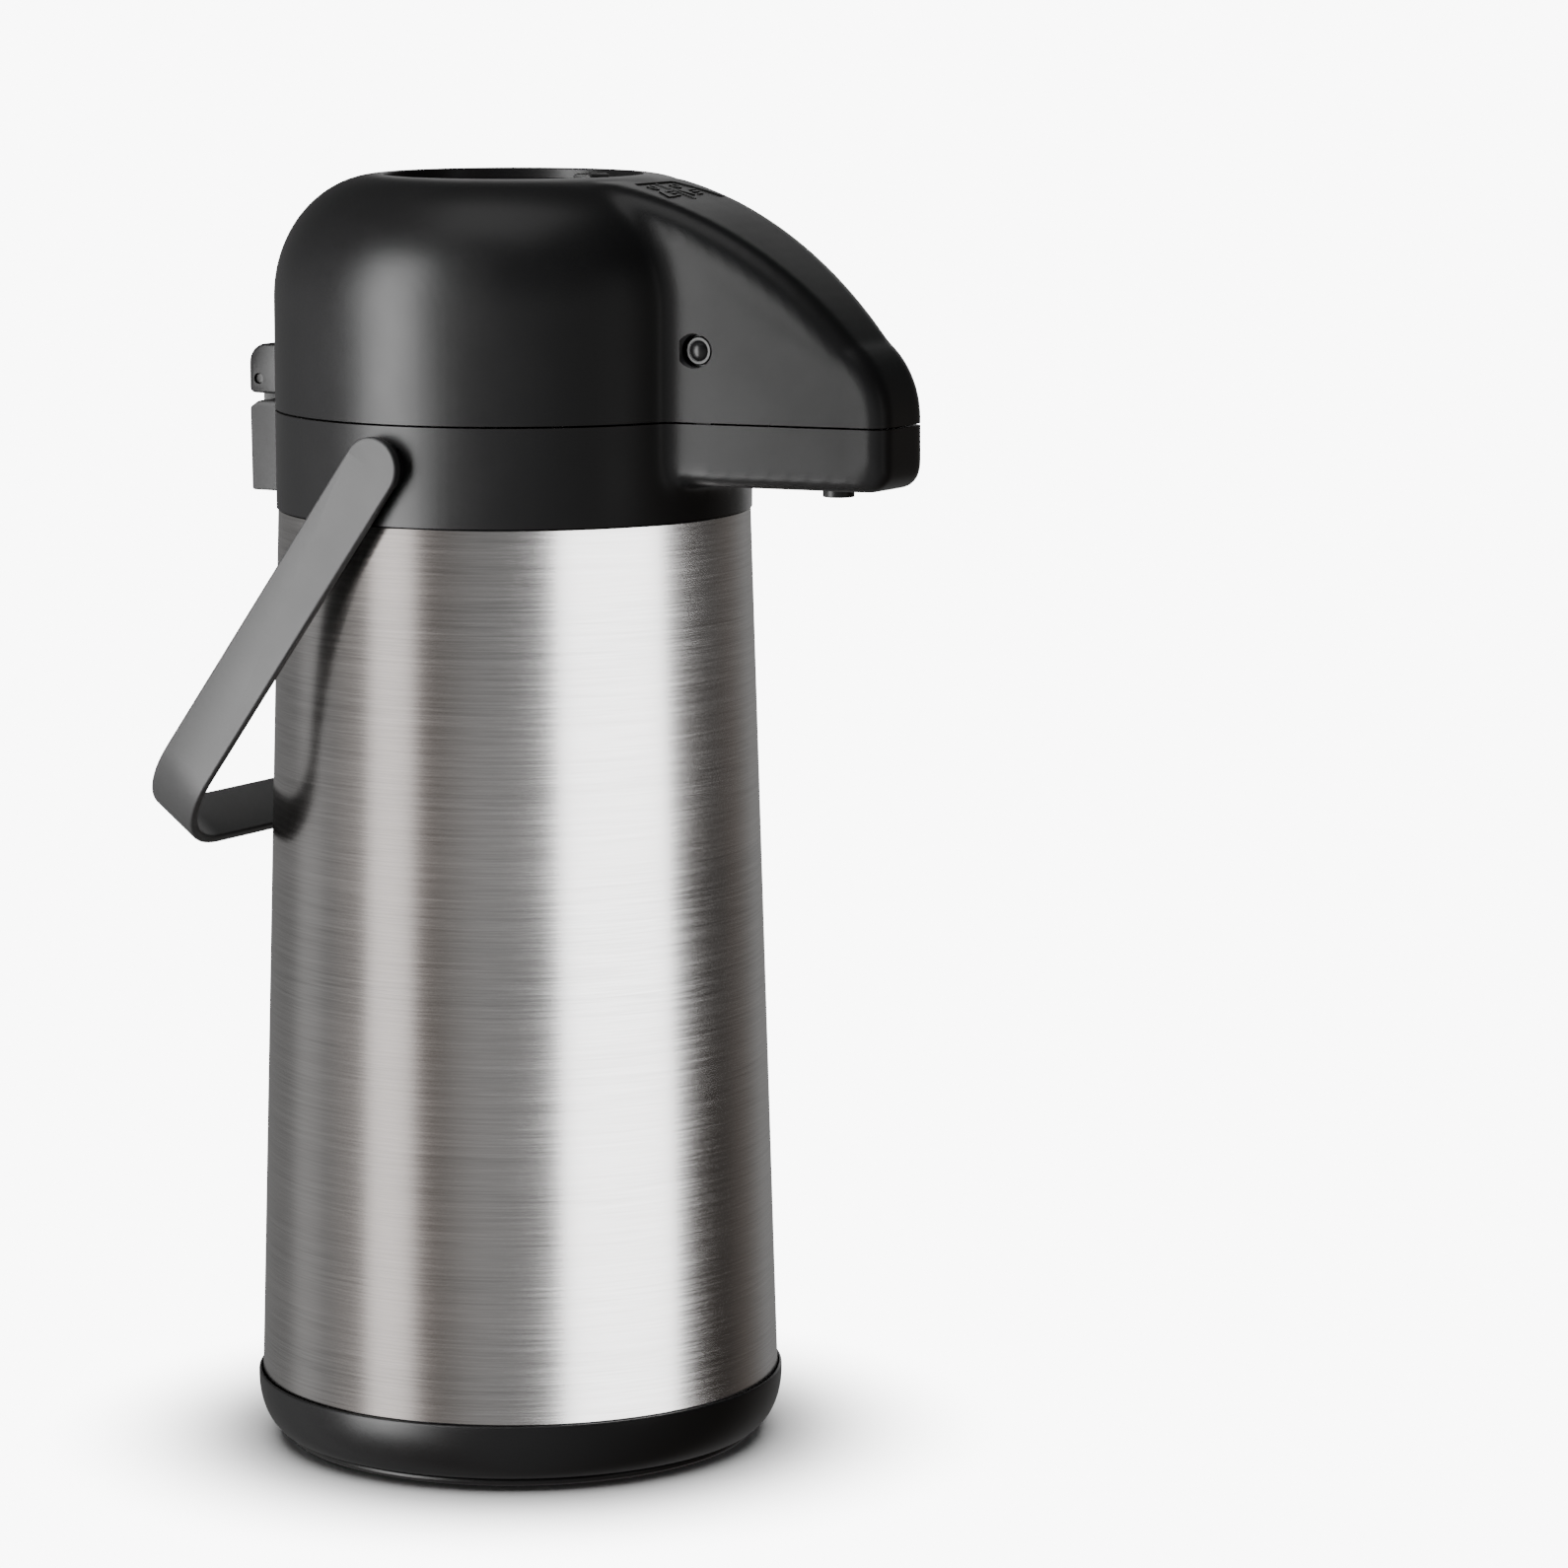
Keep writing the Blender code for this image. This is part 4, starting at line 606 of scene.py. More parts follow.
def field(inset):
    near, far = panel["near"] + inset, panel["far"] - inset
    nearHalf, farHalf = panel["nearHalf"] - inset, panel["farHalf"] - inset
    return upright([(near, -nearHalf), (far, -farHalf), (far, farHalf), (near, nearHalf)])


carve(lidCover, reshaped(bevelled(field(0), 1.2 * mm, 4, 50), skinLowered(panel["grooveDeep"]), "DIFFERENCE"))
plate = bevelled(field(panel["groove"]), 0.8 * mm, 4, 50)
unite(lidCover, reshaped(plate, skinLowered(panel["deep"]), "INTERSECT"))
signs = [bar(panel["near"] + mm, panel["far"] - mm, -panel["line"], panel["line"])]
for sign in (1, -1):
    middle = sign * 6.2 * mm
    ringSide = [(r * mm, z) for r, z in ((1.2, panel["low"]), (1.9, panel["low"]), (1.9, rim), (1.2, rim))]
    signs.append(placed(spun(ringSide, 40), (52.4 * mm, middle, 0)))
    tip = 60.6 * mm if sign > 0 else 56.0 * mm
    tail = 56.0 * mm if sign > 0 else 60.6 * mm
    signs.append(upright([(tip, middle - 2.6 * mm), (tail, middle - 0.4 * mm), (tail, middle - 4.8 * mm)]))
    for i in range(3):
        edge = (56.0 + 1.7 * i) * mm
        signs.append(bar(edge, edge + 0.7 * mm, middle + 0.6 * mm, middle + (4.4 - 0.7 * i) * mm))
unite(lidCover, reshaped(joined(*signs), skinLowered(panel["proud"]), "INTERSECT"))
bpy.data.meshes.remove(skin)
print("signs cut")

# Lid shell
lidLook = {"wall": 2.5 * mm, "pinBore": 1.65 * mm, "lugHalf": 9.5 * mm, "windowHalf": 7.3 * mm}
lidLook.update({"knuckleHalf": highOf("hinge_pin").y + 0.8 * mm, "knuckleBack": 3.5 * mm})
lidLook.update({"knuckleRound": 6 * mm, "knuckleToe": 1.8 * mm, "releaseHole": 4.8 * mm, "screwIn": 6 * mm})
knuckleTop, knuckleLow = hingeZ + 10.6 * mm, hingeZ - 4.4 * mm
knuckleX = hingeX - lidLook["knuckleBack"]
bend, toe = lidLook["knuckleRound"], lidLook["knuckleToe"]
knuckleSide = [
    (-domeRadius + 1.5 * mm, knuckleLow),
    (-domeRadius + 1.5 * mm, knuckleTop),
    *arcPoints((knuckleX + bend, knuckleTop - bend), (bend, bend), 90, 180, 12),
    *arcPoints((knuckleX + toe, knuckleLow + toe), (toe, toe), 180, 270, 5),
]
knuckle = bevelled(slab(knuckleSide, -lidLook["knuckleHalf"], lidLook["knuckleHalf"]), 0.9 * mm, 3, 50)
unite(lidCover, knuckle)
roof = [p for p in domeLine(lidLook["wall"], 16, 84) if p[0] > sleeve["radius"] + mm]
dip = 0.6 * mm
hollow = [
    (0, seam - mm),
    (domeRadius - lidLook["wall"], seam - mm),
    *roof,
    (sleeve["radius"], roof[-1][1]),
    (sleeve["radius"], sleeve["low"]),
    (wellRadius, sleeve["low"]),
    *arcPoints((wellRadius + dip, rim - dip), (dip, dip), 180, 90, 4),
    (wellRadius + dip, rim + mm),
    (0, rim + mm),
]
carve(lidCover, spun(hollow, 144))
spoutRoot = sleeve["radius"] + 2 * mm
carve(lidCover, spoutSolid(lambda inset: upperSide(inset, seam - mm, spoutRoot), spout["wall"], 5))
slotTop = hingeZ + 5.2 * mm
lugHalf = lidLook["lugHalf"]
slotEnd = -domeRadius - 0.3 * mm
carve(lidCover, block((knuckleX - mm, -lugHalf, knuckleLow - mm), (slotEnd, lugHalf, slotTop)))
carve(lidCover, placed(rod(lidLook["pinBore"], -18 * mm, 18 * mm, 32), (hingeX, 0, hingeZ), sideways))
lockLow = lowOf("lock_slider").z
windowHalf = lidLook["windowHalf"]
windowEnd = (sleeve["radius"] + mm, windowHalf, lockLow + 2.4 * mm)
carve(lidCover, block((wellRadius - 2 * mm, -windowHalf, lockLow - 0.6 * mm), windowEnd))
holeEdge = 0.5 * mm
face = spoutHalf(releaseX)
hole = lidLook["releaseHole"]
holeSide = [(0, 0), (hole, 0), (hole, face - holeEdge)]
holeSide += [(hole + 2 * holeEdge, face + holeEdge), (0, face + holeEdge)]
guideIn, guideOut = face - spout["wall"] - 4.4 * mm, face - 1.75 * mm
guideSide = [(6.3 * mm, guideIn), (7.6 * mm, guideIn), (7.6 * mm, guideOut), (6.3 * mm, guideOut)]
for sign in (1, -1):
    outward = Matrix.Rotation(-sign * math.pi / 2, 3, "X")
    near, far = sorted((0, sign * 8 * mm))
    armSlot = block((-2.9 * mm, near, guideIn - mm), (2.9 * mm, far, guideOut))
    guide = reshaped(spun(guideSide, 64), armSlot, "DIFFERENCE")
    unite(lidCover, placed(guide, (releaseX, 0, releaseZ), outward))
    carve(lidCover, placed(spun(holeSide, 64), (releaseX, 0, releaseZ), outward))
screwReach = domeRadius - lidLook["screwIn"]
for i in range(4):
    turn = math.pi / 4 + i * math.pi / 2
    spot = (screwReach * math.cos(turn), screwReach * math.sin(turn), 0)
    unite(lidCover, placed(rod(4.4 * mm, seam + 3.4 * mm, seam + 20 * mm, 24), spot))
    carve(lidCover, placed(rod(1.7 * mm, seam - mm, seam + 16 * mm, 16), spot))
print("lid cut:", len(lidCover.data.polygons))

# Collar shell
deckTop = mouthTop - 0.5 * mm
deckLow = deckTop - 1.7 * mm
deckRadius = highOf("mouth_ring").y + 2.8 * mm
collarInner = domeRadius - lidLook["wall"]
collarHollow = [
    (0, collarLow - mm),
    (collarInner - 0.3 * mm, collarLow - mm),
    (collarInner - 0.3 * mm, deckLow),
    (deckRadius, deckLow),
    (deckRadius, deckTop),
    (collarInner, deckTop),
    (collarInner, collarTop + mm),
    (0, collarTop + mm),
]
carve(collar, spun(collarHollow, 144))
spoutRoot = domeRadius - 7 * mm
carve(collar, spoutSolid(lambda inset: lowerSide(inset, collarTop + mm, spoutRoot), spout["floor"], 5))
nozzleX = middleOf("nozzle_tip").x
pipeZ = middleOf("outlet_pipe").z
pipeHalf = 3.8 * mm
carve(collar, block((deckRadius - mm, -pipeHalf, deckLow - 2 * mm), (collarInner, pipeHalf, deckTop + mm)))
carve(collar, placed(rod(5.1 * mm, collarTop - spout["drop"] - mm, pipeZ, 64), (nozzleX, 0, 0)))
pivot = {"boss": 7.7 * mm, "out": domeRadius + 2.2 * mm, "hole": 3.9 * mm, "peg": 3.6 * mm}
for sign in (1, -1):
    outward = Matrix.Rotation(-sign * math.pi / 2, 3, "X")
    boss = rod(pivot["boss"], collarInner, pivot["out"], 64, 0.5 * mm)
    unite(collar, placed(boss, (0, 0, pivotZ), outward))
    bore = rod(pivot["hole"], collarInner - 6 * mm, pivot["out"] + mm, 48)
    carve(collar, placed(bore, (0, 0, pivotZ), outward))
    edge = spoutHalf(releaseX) - spout["floor"]
    catchLow = collarTop - 4.1 * mm
    near, far = sorted((sign * (edge - 0.75 * mm), sign * (edge + 1.2 * mm)))
    unite(collar, block((releaseX - 4 * mm, near, catchLow), (releaseX + 4 * mm, far, catchLow + 2 * mm)))
print("collar cut:", len(collar.data.polygons))

dress(lidCover, "lid", satin, ("lid_cover",))
dress(collar, "pot", satin, ("collar",))

# Base ring and foot
baseRadius = highOf("base_ring").y
baseLook = {"in": 5.8 * mm, "floor": 2.4 * mm, "hub": 7.5 * mm, "side": 2 * mm, "curl": (9 * mm, 15.9 * mm)}
baseLook.update({"edge": 0.7 * mm, "lip": 0.4 * mm})
lowRadius = baseRadius - baseLook["in"]
steelEnd = lowOf("outer_shell").z
steelTop = collarLow - 0.3 * mm
steelLowRadius = highOf("outer_shell").y
curlCentre = (baseRadius - baseLook["curl"][0], baseTop - baseLook["side"])
baseCurve = arcPoints(curlCentre, baseLook["curl"], -72, 0, 28)
edge, lip = baseLook["edge"], baseLook["lip"]
baseFloor = baseLow + 0.5 * mm
baseInner = steelLowRadius + 0.3 * mm
baseOutline = [
    (baseLook["hub"], baseFloor),
    (lowRadius - 7 * mm, baseFloor),
    (lowRadius - 6 * mm, baseLow),
    *[(r, max(z, baseLow)) for r, z in baseCurve],
    *arcPoints((baseRadius - edge, baseTop - edge), (edge, edge), 0, 90, 4),
    *arcPoints((baseInner + lip, baseTop - lip), (lip, lip), 90, 180, 3),
    (baseInner, steelEnd - 0.3 * mm),
    (baseInner - 4 * mm, steelEnd - 0.3 * mm),
    (baseInner - 4 * mm, steelEnd - 2.3 * mm),
    (lowRadius - 4.5 * mm, baseFloor + baseLook["floor"]),
    (baseLook["hub"], baseFloor + baseLook["floor"]),
]
dress(toObject("base_skirt", spun(baseOutline, 180)), "pot", satin, ("base_ring",))

footRadius = highOf("swivel_foot").y
ringMiddle = footRadius - 7 * mm
grooveHalf, padStep = 2.8 * mm, 0.8 * mm
footOutline = [
    (0, 0),
    (12 * mm, 0),
    (12.8 * mm, padStep),
    (ringMiddle - grooveHalf, padStep),
    (ringMiddle - grooveHalf, 1.8 * mm),
    (ringMiddle + grooveHalf, 1.8 * mm),
    (ringMiddle + grooveHalf, padStep),
    (footRadius - mm, padStep),
    (footRadius, 1.6 * mm),
    (footRadius, 2.6 * mm),
    (footRadius - 0.6 * mm, 3.2 * mm),
    (7 * mm, 3.2 * mm),
    (7 * mm, highOf("swivel_foot").z),
    (0, highOf("swivel_foot").z),
]
foot = toObject("foot_plate", spun(softened(footOutline, 0.3 * mm), 144))
carve(foot, rod(2.1 * mm, 1.4 * mm, highOf("swivel_foot").z + mm, 32))
dress(foot, "foot", satin, ("swivel_foot",))
gripLow, gripHigh = 0.0, highOf("foot_ring").z
gripIn, gripOut = ringMiddle - 2.5 * mm, ringMiddle + 2.5 * mm
gripOutline = [(gripIn, gripLow), (gripOut, gripLow), (gripOut, gripHigh), (gripIn, gripHigh)]
grip = toObject("foot_grip", spun(softened(gripOutline, 0.4 * mm), 144))
dress(grip, "foot", rubber, ("foot_ring",))

# Steel shell and the vessel inside it
steelWall = 0.8 * mm
neckRadius = 41 * mm
neckTop = highOf("inner_vessel").z
steelTopRadius = domeRadius - 0.5 * mm
shoulder = neckRadius + 2 * steelWall + 0.6 * mm
ledge = domeRadius - 4.1 * mm
shellOutline = [
    (steelLowRadius, steelEnd),
    (steelTopRadius, steelTop),
    (ledge, steelTop),
    (shoulder + 3 * mm, steelTop + 8.5 * mm),
    (shoulder, steelTop + 10 * mm),
    (shoulder, neckTop),
    (shoulder - steelWall, neckTop),
    (shoulder - steelWall, steelTop + 9.4 * mm),
    (shoulder + 2.7 * mm, steelTop + 7.7 * mm),
    (ledge - 0.2 * mm, steelTop - steelWall),
    (steelTopRadius - steelWall, steelTop - steelWall),
    (steelLowRadius - steelWall, steelEnd),
]
steel = toObject("steel_jacket", spun(softened(shellOutline, 0.35 * mm), 192))
dress(steel, "pot", bodySteel, ("outer_shell",))

vesselRadius = highOf("inner_vessel").y
vesselFloor = lowOf("inner_vessel").z
shoulderLow = steelTop - 20 * mm
heel = 10 * mm
corner = (vesselRadius - heel, vesselFloor + heel)
vesselOutline = [
    (0, vesselFloor),
    *arcPoints(corner, (heel, heel), -90, 0, 10),
    (vesselRadius, shoulderLow),
    (vesselRadius - 4 * mm, shoulderLow + 7 * mm),
    (neckRadius + 2.8 * mm, steelTop - 0.5 * mm),
    (neckRadius + steelWall, steelTop + 2 * mm),
    (neckRadius + steelWall, neckTop),
    (neckRadius, neckTop),
    (neckRadius, steelTop + 1.8 * mm),
    (neckRadius + 1.7 * mm, steelTop - 1.2 * mm),
    (vesselRadius - 4.6 * mm, shoulderLow + 6.3 * mm),
    (vesselRadius - steelWall, shoulderLow - 0.3 * mm),
    *arcPoints(corner, (heel - steelWall, heel - steelWall), 0, -90, 10),
    (0, vesselFloor + steelWall),
]
vessel = toObject("vessel", spun(softened(vesselOutline, 0.35 * mm), 160))
dress(vessel, "pot", plainSteel, ("inner_vessel",))
print("body made")

# Hinge
bracketLow = lowOf("hinge_bracket").z
bracketTop = seam - 0.5 * mm
bracketSide = [
    (-domeRadius + 8 * mm, bracketLow),
    (knuckleX + 0.4 * mm, bracketLow),
    (knuckleX, bracketTop - 2 * mm),
    (knuckleX + 3 * mm, bracketTop),
    (-domeRadius + 8 * mm, bracketTop),
]
bracketHalf = highOf("hinge_bracket").y
bracket = toObject("bracket", bevelled(slab(bracketSide, -bracketHalf, bracketHalf), 0.8 * mm, 3))
lugRadius = 3.9 * mm
lugSide = [(hingeX - lugRadius, bracketTop - mm), *arcPoints((hingeX, hingeZ), (lugRadius,) * 2, 180, 0, 24)]
lugSide.append((hingeX + lugRadius, bracketTop - mm))
unite(bracket, slab(lugSide, -8.9 * mm, 8.9 * mm))
carve(bracket, rod(domeRadius + 0.3 * mm, bracketLow - mm, hingeZ + 2 * mm, 160))
carve(bracket, placed(rod(lidLook["pinBore"], -18 * mm, 18 * mm, 32), (hingeX, 0, hingeZ), sideways))
dress(bracket, "pot", paleMatt, ("hinge_bracket",))
pinHalf = highOf("hinge_pin").y
pin = toObject("pin", placed(rod(1.5 * mm, -pinHalf, pinHalf, 32, 0.25 * mm), (hingeX, 0, hingeZ), sideways))
# the pin takes the near-black steel: painted shade for its hole
dress(pin, "pot", pinShadeSteel, ("hinge_pin",))

# Handle strap
strap = {"gap": 2.6 * mm, "thick": 3 * mm, "half": 8.9 * mm, "reach": 140 * mm, "bend": 28 * mm}


def steelAt(z):
    share = (steelTop - z) / (steelTop - steelEnd)
    return steelTopRadius + (steelLowRadius - steelTopRadius) * share


def hangAngle():
    reach = strap["reach"] - strap["thick"]
    angle = 0.0
    while angle < math.pi / 2:
        z = pivotZ - reach * math.cos(angle) - strap["half"] * math.sin(angle)
        if reach * math.sin(angle) - strap["half"] * math.cos(angle) >= steelAt(z) + 0.6 * mm:
            break
        angle += math.radians(0.1)
    return angle


def strapLine(inset, steps=20):
    side = domeRadius + strap["gap"] + strap["thick"] - inset
    reach, bend = strap["reach"] - inset, strap["bend"] - inset
    right = arcPoints((-side + bend, reach - bend), (bend, bend), 180, 90, steps)
    left = arcPoints((side - bend, reach - bend), (bend, bend), 90, 0, steps)
    return [(-side, 0), *right, *left, (side, 0)]


hang = Matrix.Rotation(hangAngle(), 3, "Y")
strapLoop = strapLine(0) + strapLine(strap["thick"])[::-1]
strapFace = [(y, -reach) for y, reach in strapLoop]
strip = slab(strapFace, -strap["half"], strap["half"])
bmesh.ops.rotate(strip, cent=(0, 0, 0), matrix=Matrix.Rotation(math.pi / 2, 3, "Z"), verts=strip.verts)
handle = toObject("strap", bevelled(strip, 0.7 * mm, 3, 50))
for sign in (1, -1):
    outward = Matrix.Rotation(-sign * math.pi / 2, 3, "X")
    eyeIn = domeRadius + strap["gap"]
    unite(handle, placed(rod(strap["half"], eyeIn, eyeIn + strap["thick"], 96, 0.7 * mm), turn=outward))
for sign in (1, -1):
    outward = Matrix.Rotation(-sign * math.pi / 2, 3, "X")
    peg = rod(pivot["peg"], collarInner - 2 * mm, domeRadius + strap["gap"] + 1.5 * mm, 48, 0.3 * mm)
    unite(handle, placed(peg, turn=outward))
turned = bmesh.new()
turned.from_mesh(handle.data)
placed(turned, (0, 0, pivotZ), hang)
turned.to_mesh(handle.data)
turned.free()
dress(handle, "handle", paleMatt, ("handle_strap",))
print("handle made:", len(handle.data.polygons))

# Push button and its lock
buttonLook = {"edge": wellRadius - 0.5 * mm, "wall": 1.7 * mm, "dish": 5.5 * mm}
buttonIn = buttonLook["edge"] - buttonLook["wall"]
buttonLow = lowOf("push_button").z
flangeZ = sleeve["low"] - 0.3 * mm
flangeRadius = highOf("push_button").y
dishZ = buttonTop - buttonLook["dish"]
dishFlat, dishSide = buttonIn - 21.2 * mm, buttonIn - 7.2 * mm
dishLine = arcThrough((0, dishZ), (dishFlat, dishZ + 0.4 * mm), (dishSide, dishZ + 1.8 * mm), 10)
buttonOutline = [
    *dishLine,
    (buttonIn - 2.7 * mm, buttonTop - 1.6 * mm),
    (buttonIn, buttonTop),
    *arcPoints((buttonLook["edge"] - 0.6 * mm, buttonTop - 0.6 * mm), (0.6 * mm, 0.6 * mm), 90, 0, 4),
    (buttonLook["edge"], flangeZ),
    (flangeRadius, flangeZ),
    (flangeRadius, buttonLow),
    (buttonIn, buttonLow),
    (buttonIn, buttonTop - 3.4 * mm),
    (dishSide, dishZ + 1.8 * mm - buttonLook["wall"]),
    (dishFlat, dishZ + 0.4 * mm - buttonLook["wall"]),
    (0, dishZ - buttonLook["wall"]),
]
buttonOutline[0] = (0, buttonOutline[0][1])
button = toObject("button", spun(buttonOutline, 144))
plateTop = highOf("pump_plate").z
stem = [(8.5 * mm, plateTop + 0.3 * mm), (10.5 * mm, plateTop + 0.3 * mm), (10.5 * mm, dishZ - 0.5 * mm)]
stem.append((8.5 * mm, dishZ - 0.5 * mm))
unite(button, spun(stem, 64))
lockHalf = highOf("lock_slider").y
lockTail, lockTip = lowOf("lock_slider").x, highOf("lock_slider").x
trackHalf = lockHalf + 2.5 * mm
trackEnd = (buttonIn + 0.5 * mm, trackHalf, lockLow + 1.4 * mm)
track = block((lockTail - 3 * mm, -trackHalf, dishZ - 0.6 * mm), trackEnd)
unite(button, bevelled(track, 0.5 * mm, 2))
channelHalf = lockHalf + 0.3 * mm
channelLow = lockLow - 0.3 * mm
channelEnd = (buttonIn - 0.4 * mm, channelHalf, buttonTop + mm)
carve(button, block((lockTail - 0.4 * mm, -channelHalf, channelLow), channelEnd))
notchEnd = (buttonLook["edge"] + mm, channelHalf, lockLow + 2 * mm)
carve(button, block((buttonIn - mm, -channelHalf, channelLow), notchEnd))
dress(button, "button", satin, ("push_button",))

knob = {"out": wellRadius - 7 * mm, "long": 8 * mm, "half": lockHalf - 1.5 * mm}
knob.update({"top": highOf("lock_slider").z, "grooves": 3, "pitch": 1.4 * mm})
sliderShape = block((lockTail, -lockHalf, lockLow), (lockTip, lockHalf, lockLow + 1.6 * mm))
slider = toObject("slider", bevelled(sliderShape, 0.3 * mm, 2))
knobIn = knob["out"] - knob["long"]
knobSide = [
    (knobIn, lockLow + 0.8 * mm),
    (knob["out"], lockLow + 0.8 * mm),
    (knob["out"] - 0.8 * mm, knob["top"] - 0.4 * mm),
    (knob["out"] - 1.8 * mm, knob["top"]),
    (knobIn + 1.8 * mm, knob["top"]),
    (knobIn + 0.8 * mm, knob["top"] - 0.4 * mm),
]
unite(slider, bevelled(slab(knobSide, -knob["half"], knob["half"]), 0.5 * mm, 3))
for i in range(knob["grooves"]):
    groove = rod(0.45 * mm, -knob["half"] - mm, knob["half"] + mm, 24)
    grooveX = (knobIn + knob["out"]) / 2 + (i - 1) * knob["pitch"]
    carve(slider, placed(groove, (grooveX, 0, knob["top"] + 0.15 * mm), sideways))
dress(slider, "lock", matt, ("lock_slider",))
print("button made")

# Release buttons
releaseLook = {"cap": 4.1 * mm, "flange": 6 * mm, "plate": 1.3 * mm, "armHalf": 2.5 * mm}
releaseLook.update({"rim": 1.3 * mm, "moat": 1.5 * mm, "domeRadius": 3 * mm})
flangeOut = spoutHalf(releaseX + releaseLook["flange"]) - spout["wall"] - 0.3 * mm
flangeIn = flangeOut - releaseLook["plate"]
capOut = face - 0.5 * mm
rimZ, moatZ = capOut - releaseLook["rim"], capOut - releaseLook["moat"]
armHalf = releaseLook["armHalf"]
capOutline = [
    (0, flangeIn),
    (releaseLook["flange"], flangeIn),
    (releaseLook["flange"], flangeOut),
    (releaseLook["cap"], flangeOut),
    (releaseLook["cap"], capOut - 1.6 * mm),
    (releaseLook["cap"] - 0.3 * mm, rimZ),
    (releaseLook["cap"] - 0.9 * mm, rimZ),
    (releaseLook["cap"] - mm, moatZ),
    *arcThrough((releaseLook["domeRadius"], moatZ), (1.7 * mm, capOut - 0.35 * mm), (0, capOut), 12)[:-1],
    (0, capOut),
]
for sign, word in ((-1, "right"), (1, "left")):
    outward = Matrix.Rotation(-sign * math.pi / 2, 3, "X")
    cap = toObject("release_" + word, placed(spun(capOutline, 64), (releaseX, 0, releaseZ), outward))
    armLow = collarTop - 7.2 * mm
    near, far = sorted((sign * (flangeIn - 1.2 * mm), sign * (flangeIn + 0.6 * mm)))
    unite(cap, block((releaseX - armHalf, near, armLow), (releaseX + armHalf, far, releaseZ - 2 * mm)))
    near, far = sorted((sign * flangeIn, sign * (face - spout["floor"] - 1.05 * mm)))
    unite(cap, block((releaseX - armHalf, near, armLow), (releaseX + armHalf, far, armLow + 2.5 * mm)))
    dress(cap, "release_" + word, satin, ("release_button_" + word,))

# Nozzle
nozzleLow = lowOf("nozzle_tip").z
nozzleRadius = highOf("nozzle_tip").y
headTop = pipeZ + 3 * mm
nozzleOutline = [
    (nozzleRadius - 1.4 * mm, nozzleLow),
    (nozzleRadius, nozzleLow),
    (nozzleRadius, headTop - mm),
    (nozzleRadius - mm, headTop),
    (0, headTop),
    (0, pipeZ),
    (nozzleRadius - 1.4 * mm, pipeZ),
]
nozzle = toObject("nozzle", placed(spun(softened(nozzleOutline, 0.35 * mm), 64), (nozzleX, 0, 0)))
carve(nozzle, placed(rod(2.1 * mm, -nozzleRadius - mm, 0, 32), (nozzleX, 0, pipeZ), forward))
dress(nozzle, "pot", satin, ("nozzle_tip",))
print("release buttons and nozzle made")

# Springs and bellows
def coil(radius, thick, low, high, turns):
    bm = bmesh.new()
    section = bmesh.ops.create_circle(bm, segments=12, radius=thick)["verts"]
    bmesh.ops.rotate(bm, cent=(0, 0, 0), matrix=sideways, verts=section)
    bmesh.ops.translate(bm, vec=(radius, 0, low), verts=section)
    steps = round(turns * 36)
    rise = (0, 0, (high - low) / steps)
    bmesh.ops.spin(
        bm,
        geom=bm.verts[:] + bm.edges[:],
        cent=(0, 0, 0),
        axis=(0, 0, 1),
        dvec=rise,
        angle=turns * math.tau,
        steps=steps,
        use_merge=False,
    )
    bmesh.ops.holes_fill(bm, edges=[edge for edge in bm.edges if edge.is_boundary])
    return closeUp(bm)


bellowsLow, bellowsHigh = lowOf("bellows").z, highOf("bellows").z
bellowsRadius = wellRadius - 3.9 * mm
bellowsLook = {"fold": 4.5 * mm, "folds": 4, "wall": 1.1 * mm, "lip": 1.2 * mm}
waist = bellowsRadius - bellowsLook["fold"]
lipTop, cuffLow = bellowsLow + bellowsLook["lip"], bellowsHigh - bellowsLook["lip"]
foldLow, foldHigh = lipTop + 1.5 * mm, cuffLow - mm
pitch = (foldHigh - foldLow) / bellowsLook["folds"]
folds = []
for i in range(bellowsLook["folds"]):
    folds += [(waist, foldLow + i * pitch), (bellowsRadius, foldLow + (i + 0.5) * pitch)]
folds.append((waist, foldHigh))
innerFolds = [(r - bellowsLook["wall"], z) for r, z in reversed(folds)]
flangeOuter = highOf("bellows").y
bellowsOutline = [
    (waist - bellowsLook["wall"], bellowsLow),
    (flangeOuter, bellowsLow),
    (flangeOuter, lipTop),
    (waist, lipTop),
    *folds,
    (bellowsRadius - 2 * mm, cuffLow),
    (bellowsRadius - 2 * mm, bellowsHigh),
    (waist - bellowsLook["wall"], bellowsHigh),
    *innerFolds,
]
bellows = toObject("bellows_sleeve", spun(softened(bellowsOutline, 0.9 * mm), 144))
dress(bellows, "lid", rubber, ("bellows",), 60)
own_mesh(bellows)
wireHalf = 0.9 * mm
springLow, springHigh = lowOf("return_spring").z, highOf("return_spring").z
springRadius = highOf("return_spring").y - wireHalf
spring = toObject("return_coil", coil(springRadius, wireHalf, springLow + wireHalf, springHigh - wireHalf, 5))
dress(spring, "lid", wire, ("return_spring",), 60)
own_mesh(spring)
latchReach, latchHalf = highOf("latch_spring").y, 0.4 * mm
for sign, word in ((-1, "right"), (1, "left")):
    outward = Matrix.Rotation(-sign * math.pi / 2, 3, "X")
    half = coil(2.6 * mm, latchHalf, 0.2 * mm, latchReach - latchHalf, 4.5)
    half = toObject("latch_coil_" + word, placed(half, (releaseX, 0, releaseZ), outward))
    dress(half, "lid", wire, ("latch_spring",), 60)
    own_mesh(half)
print("springs and bellows made")


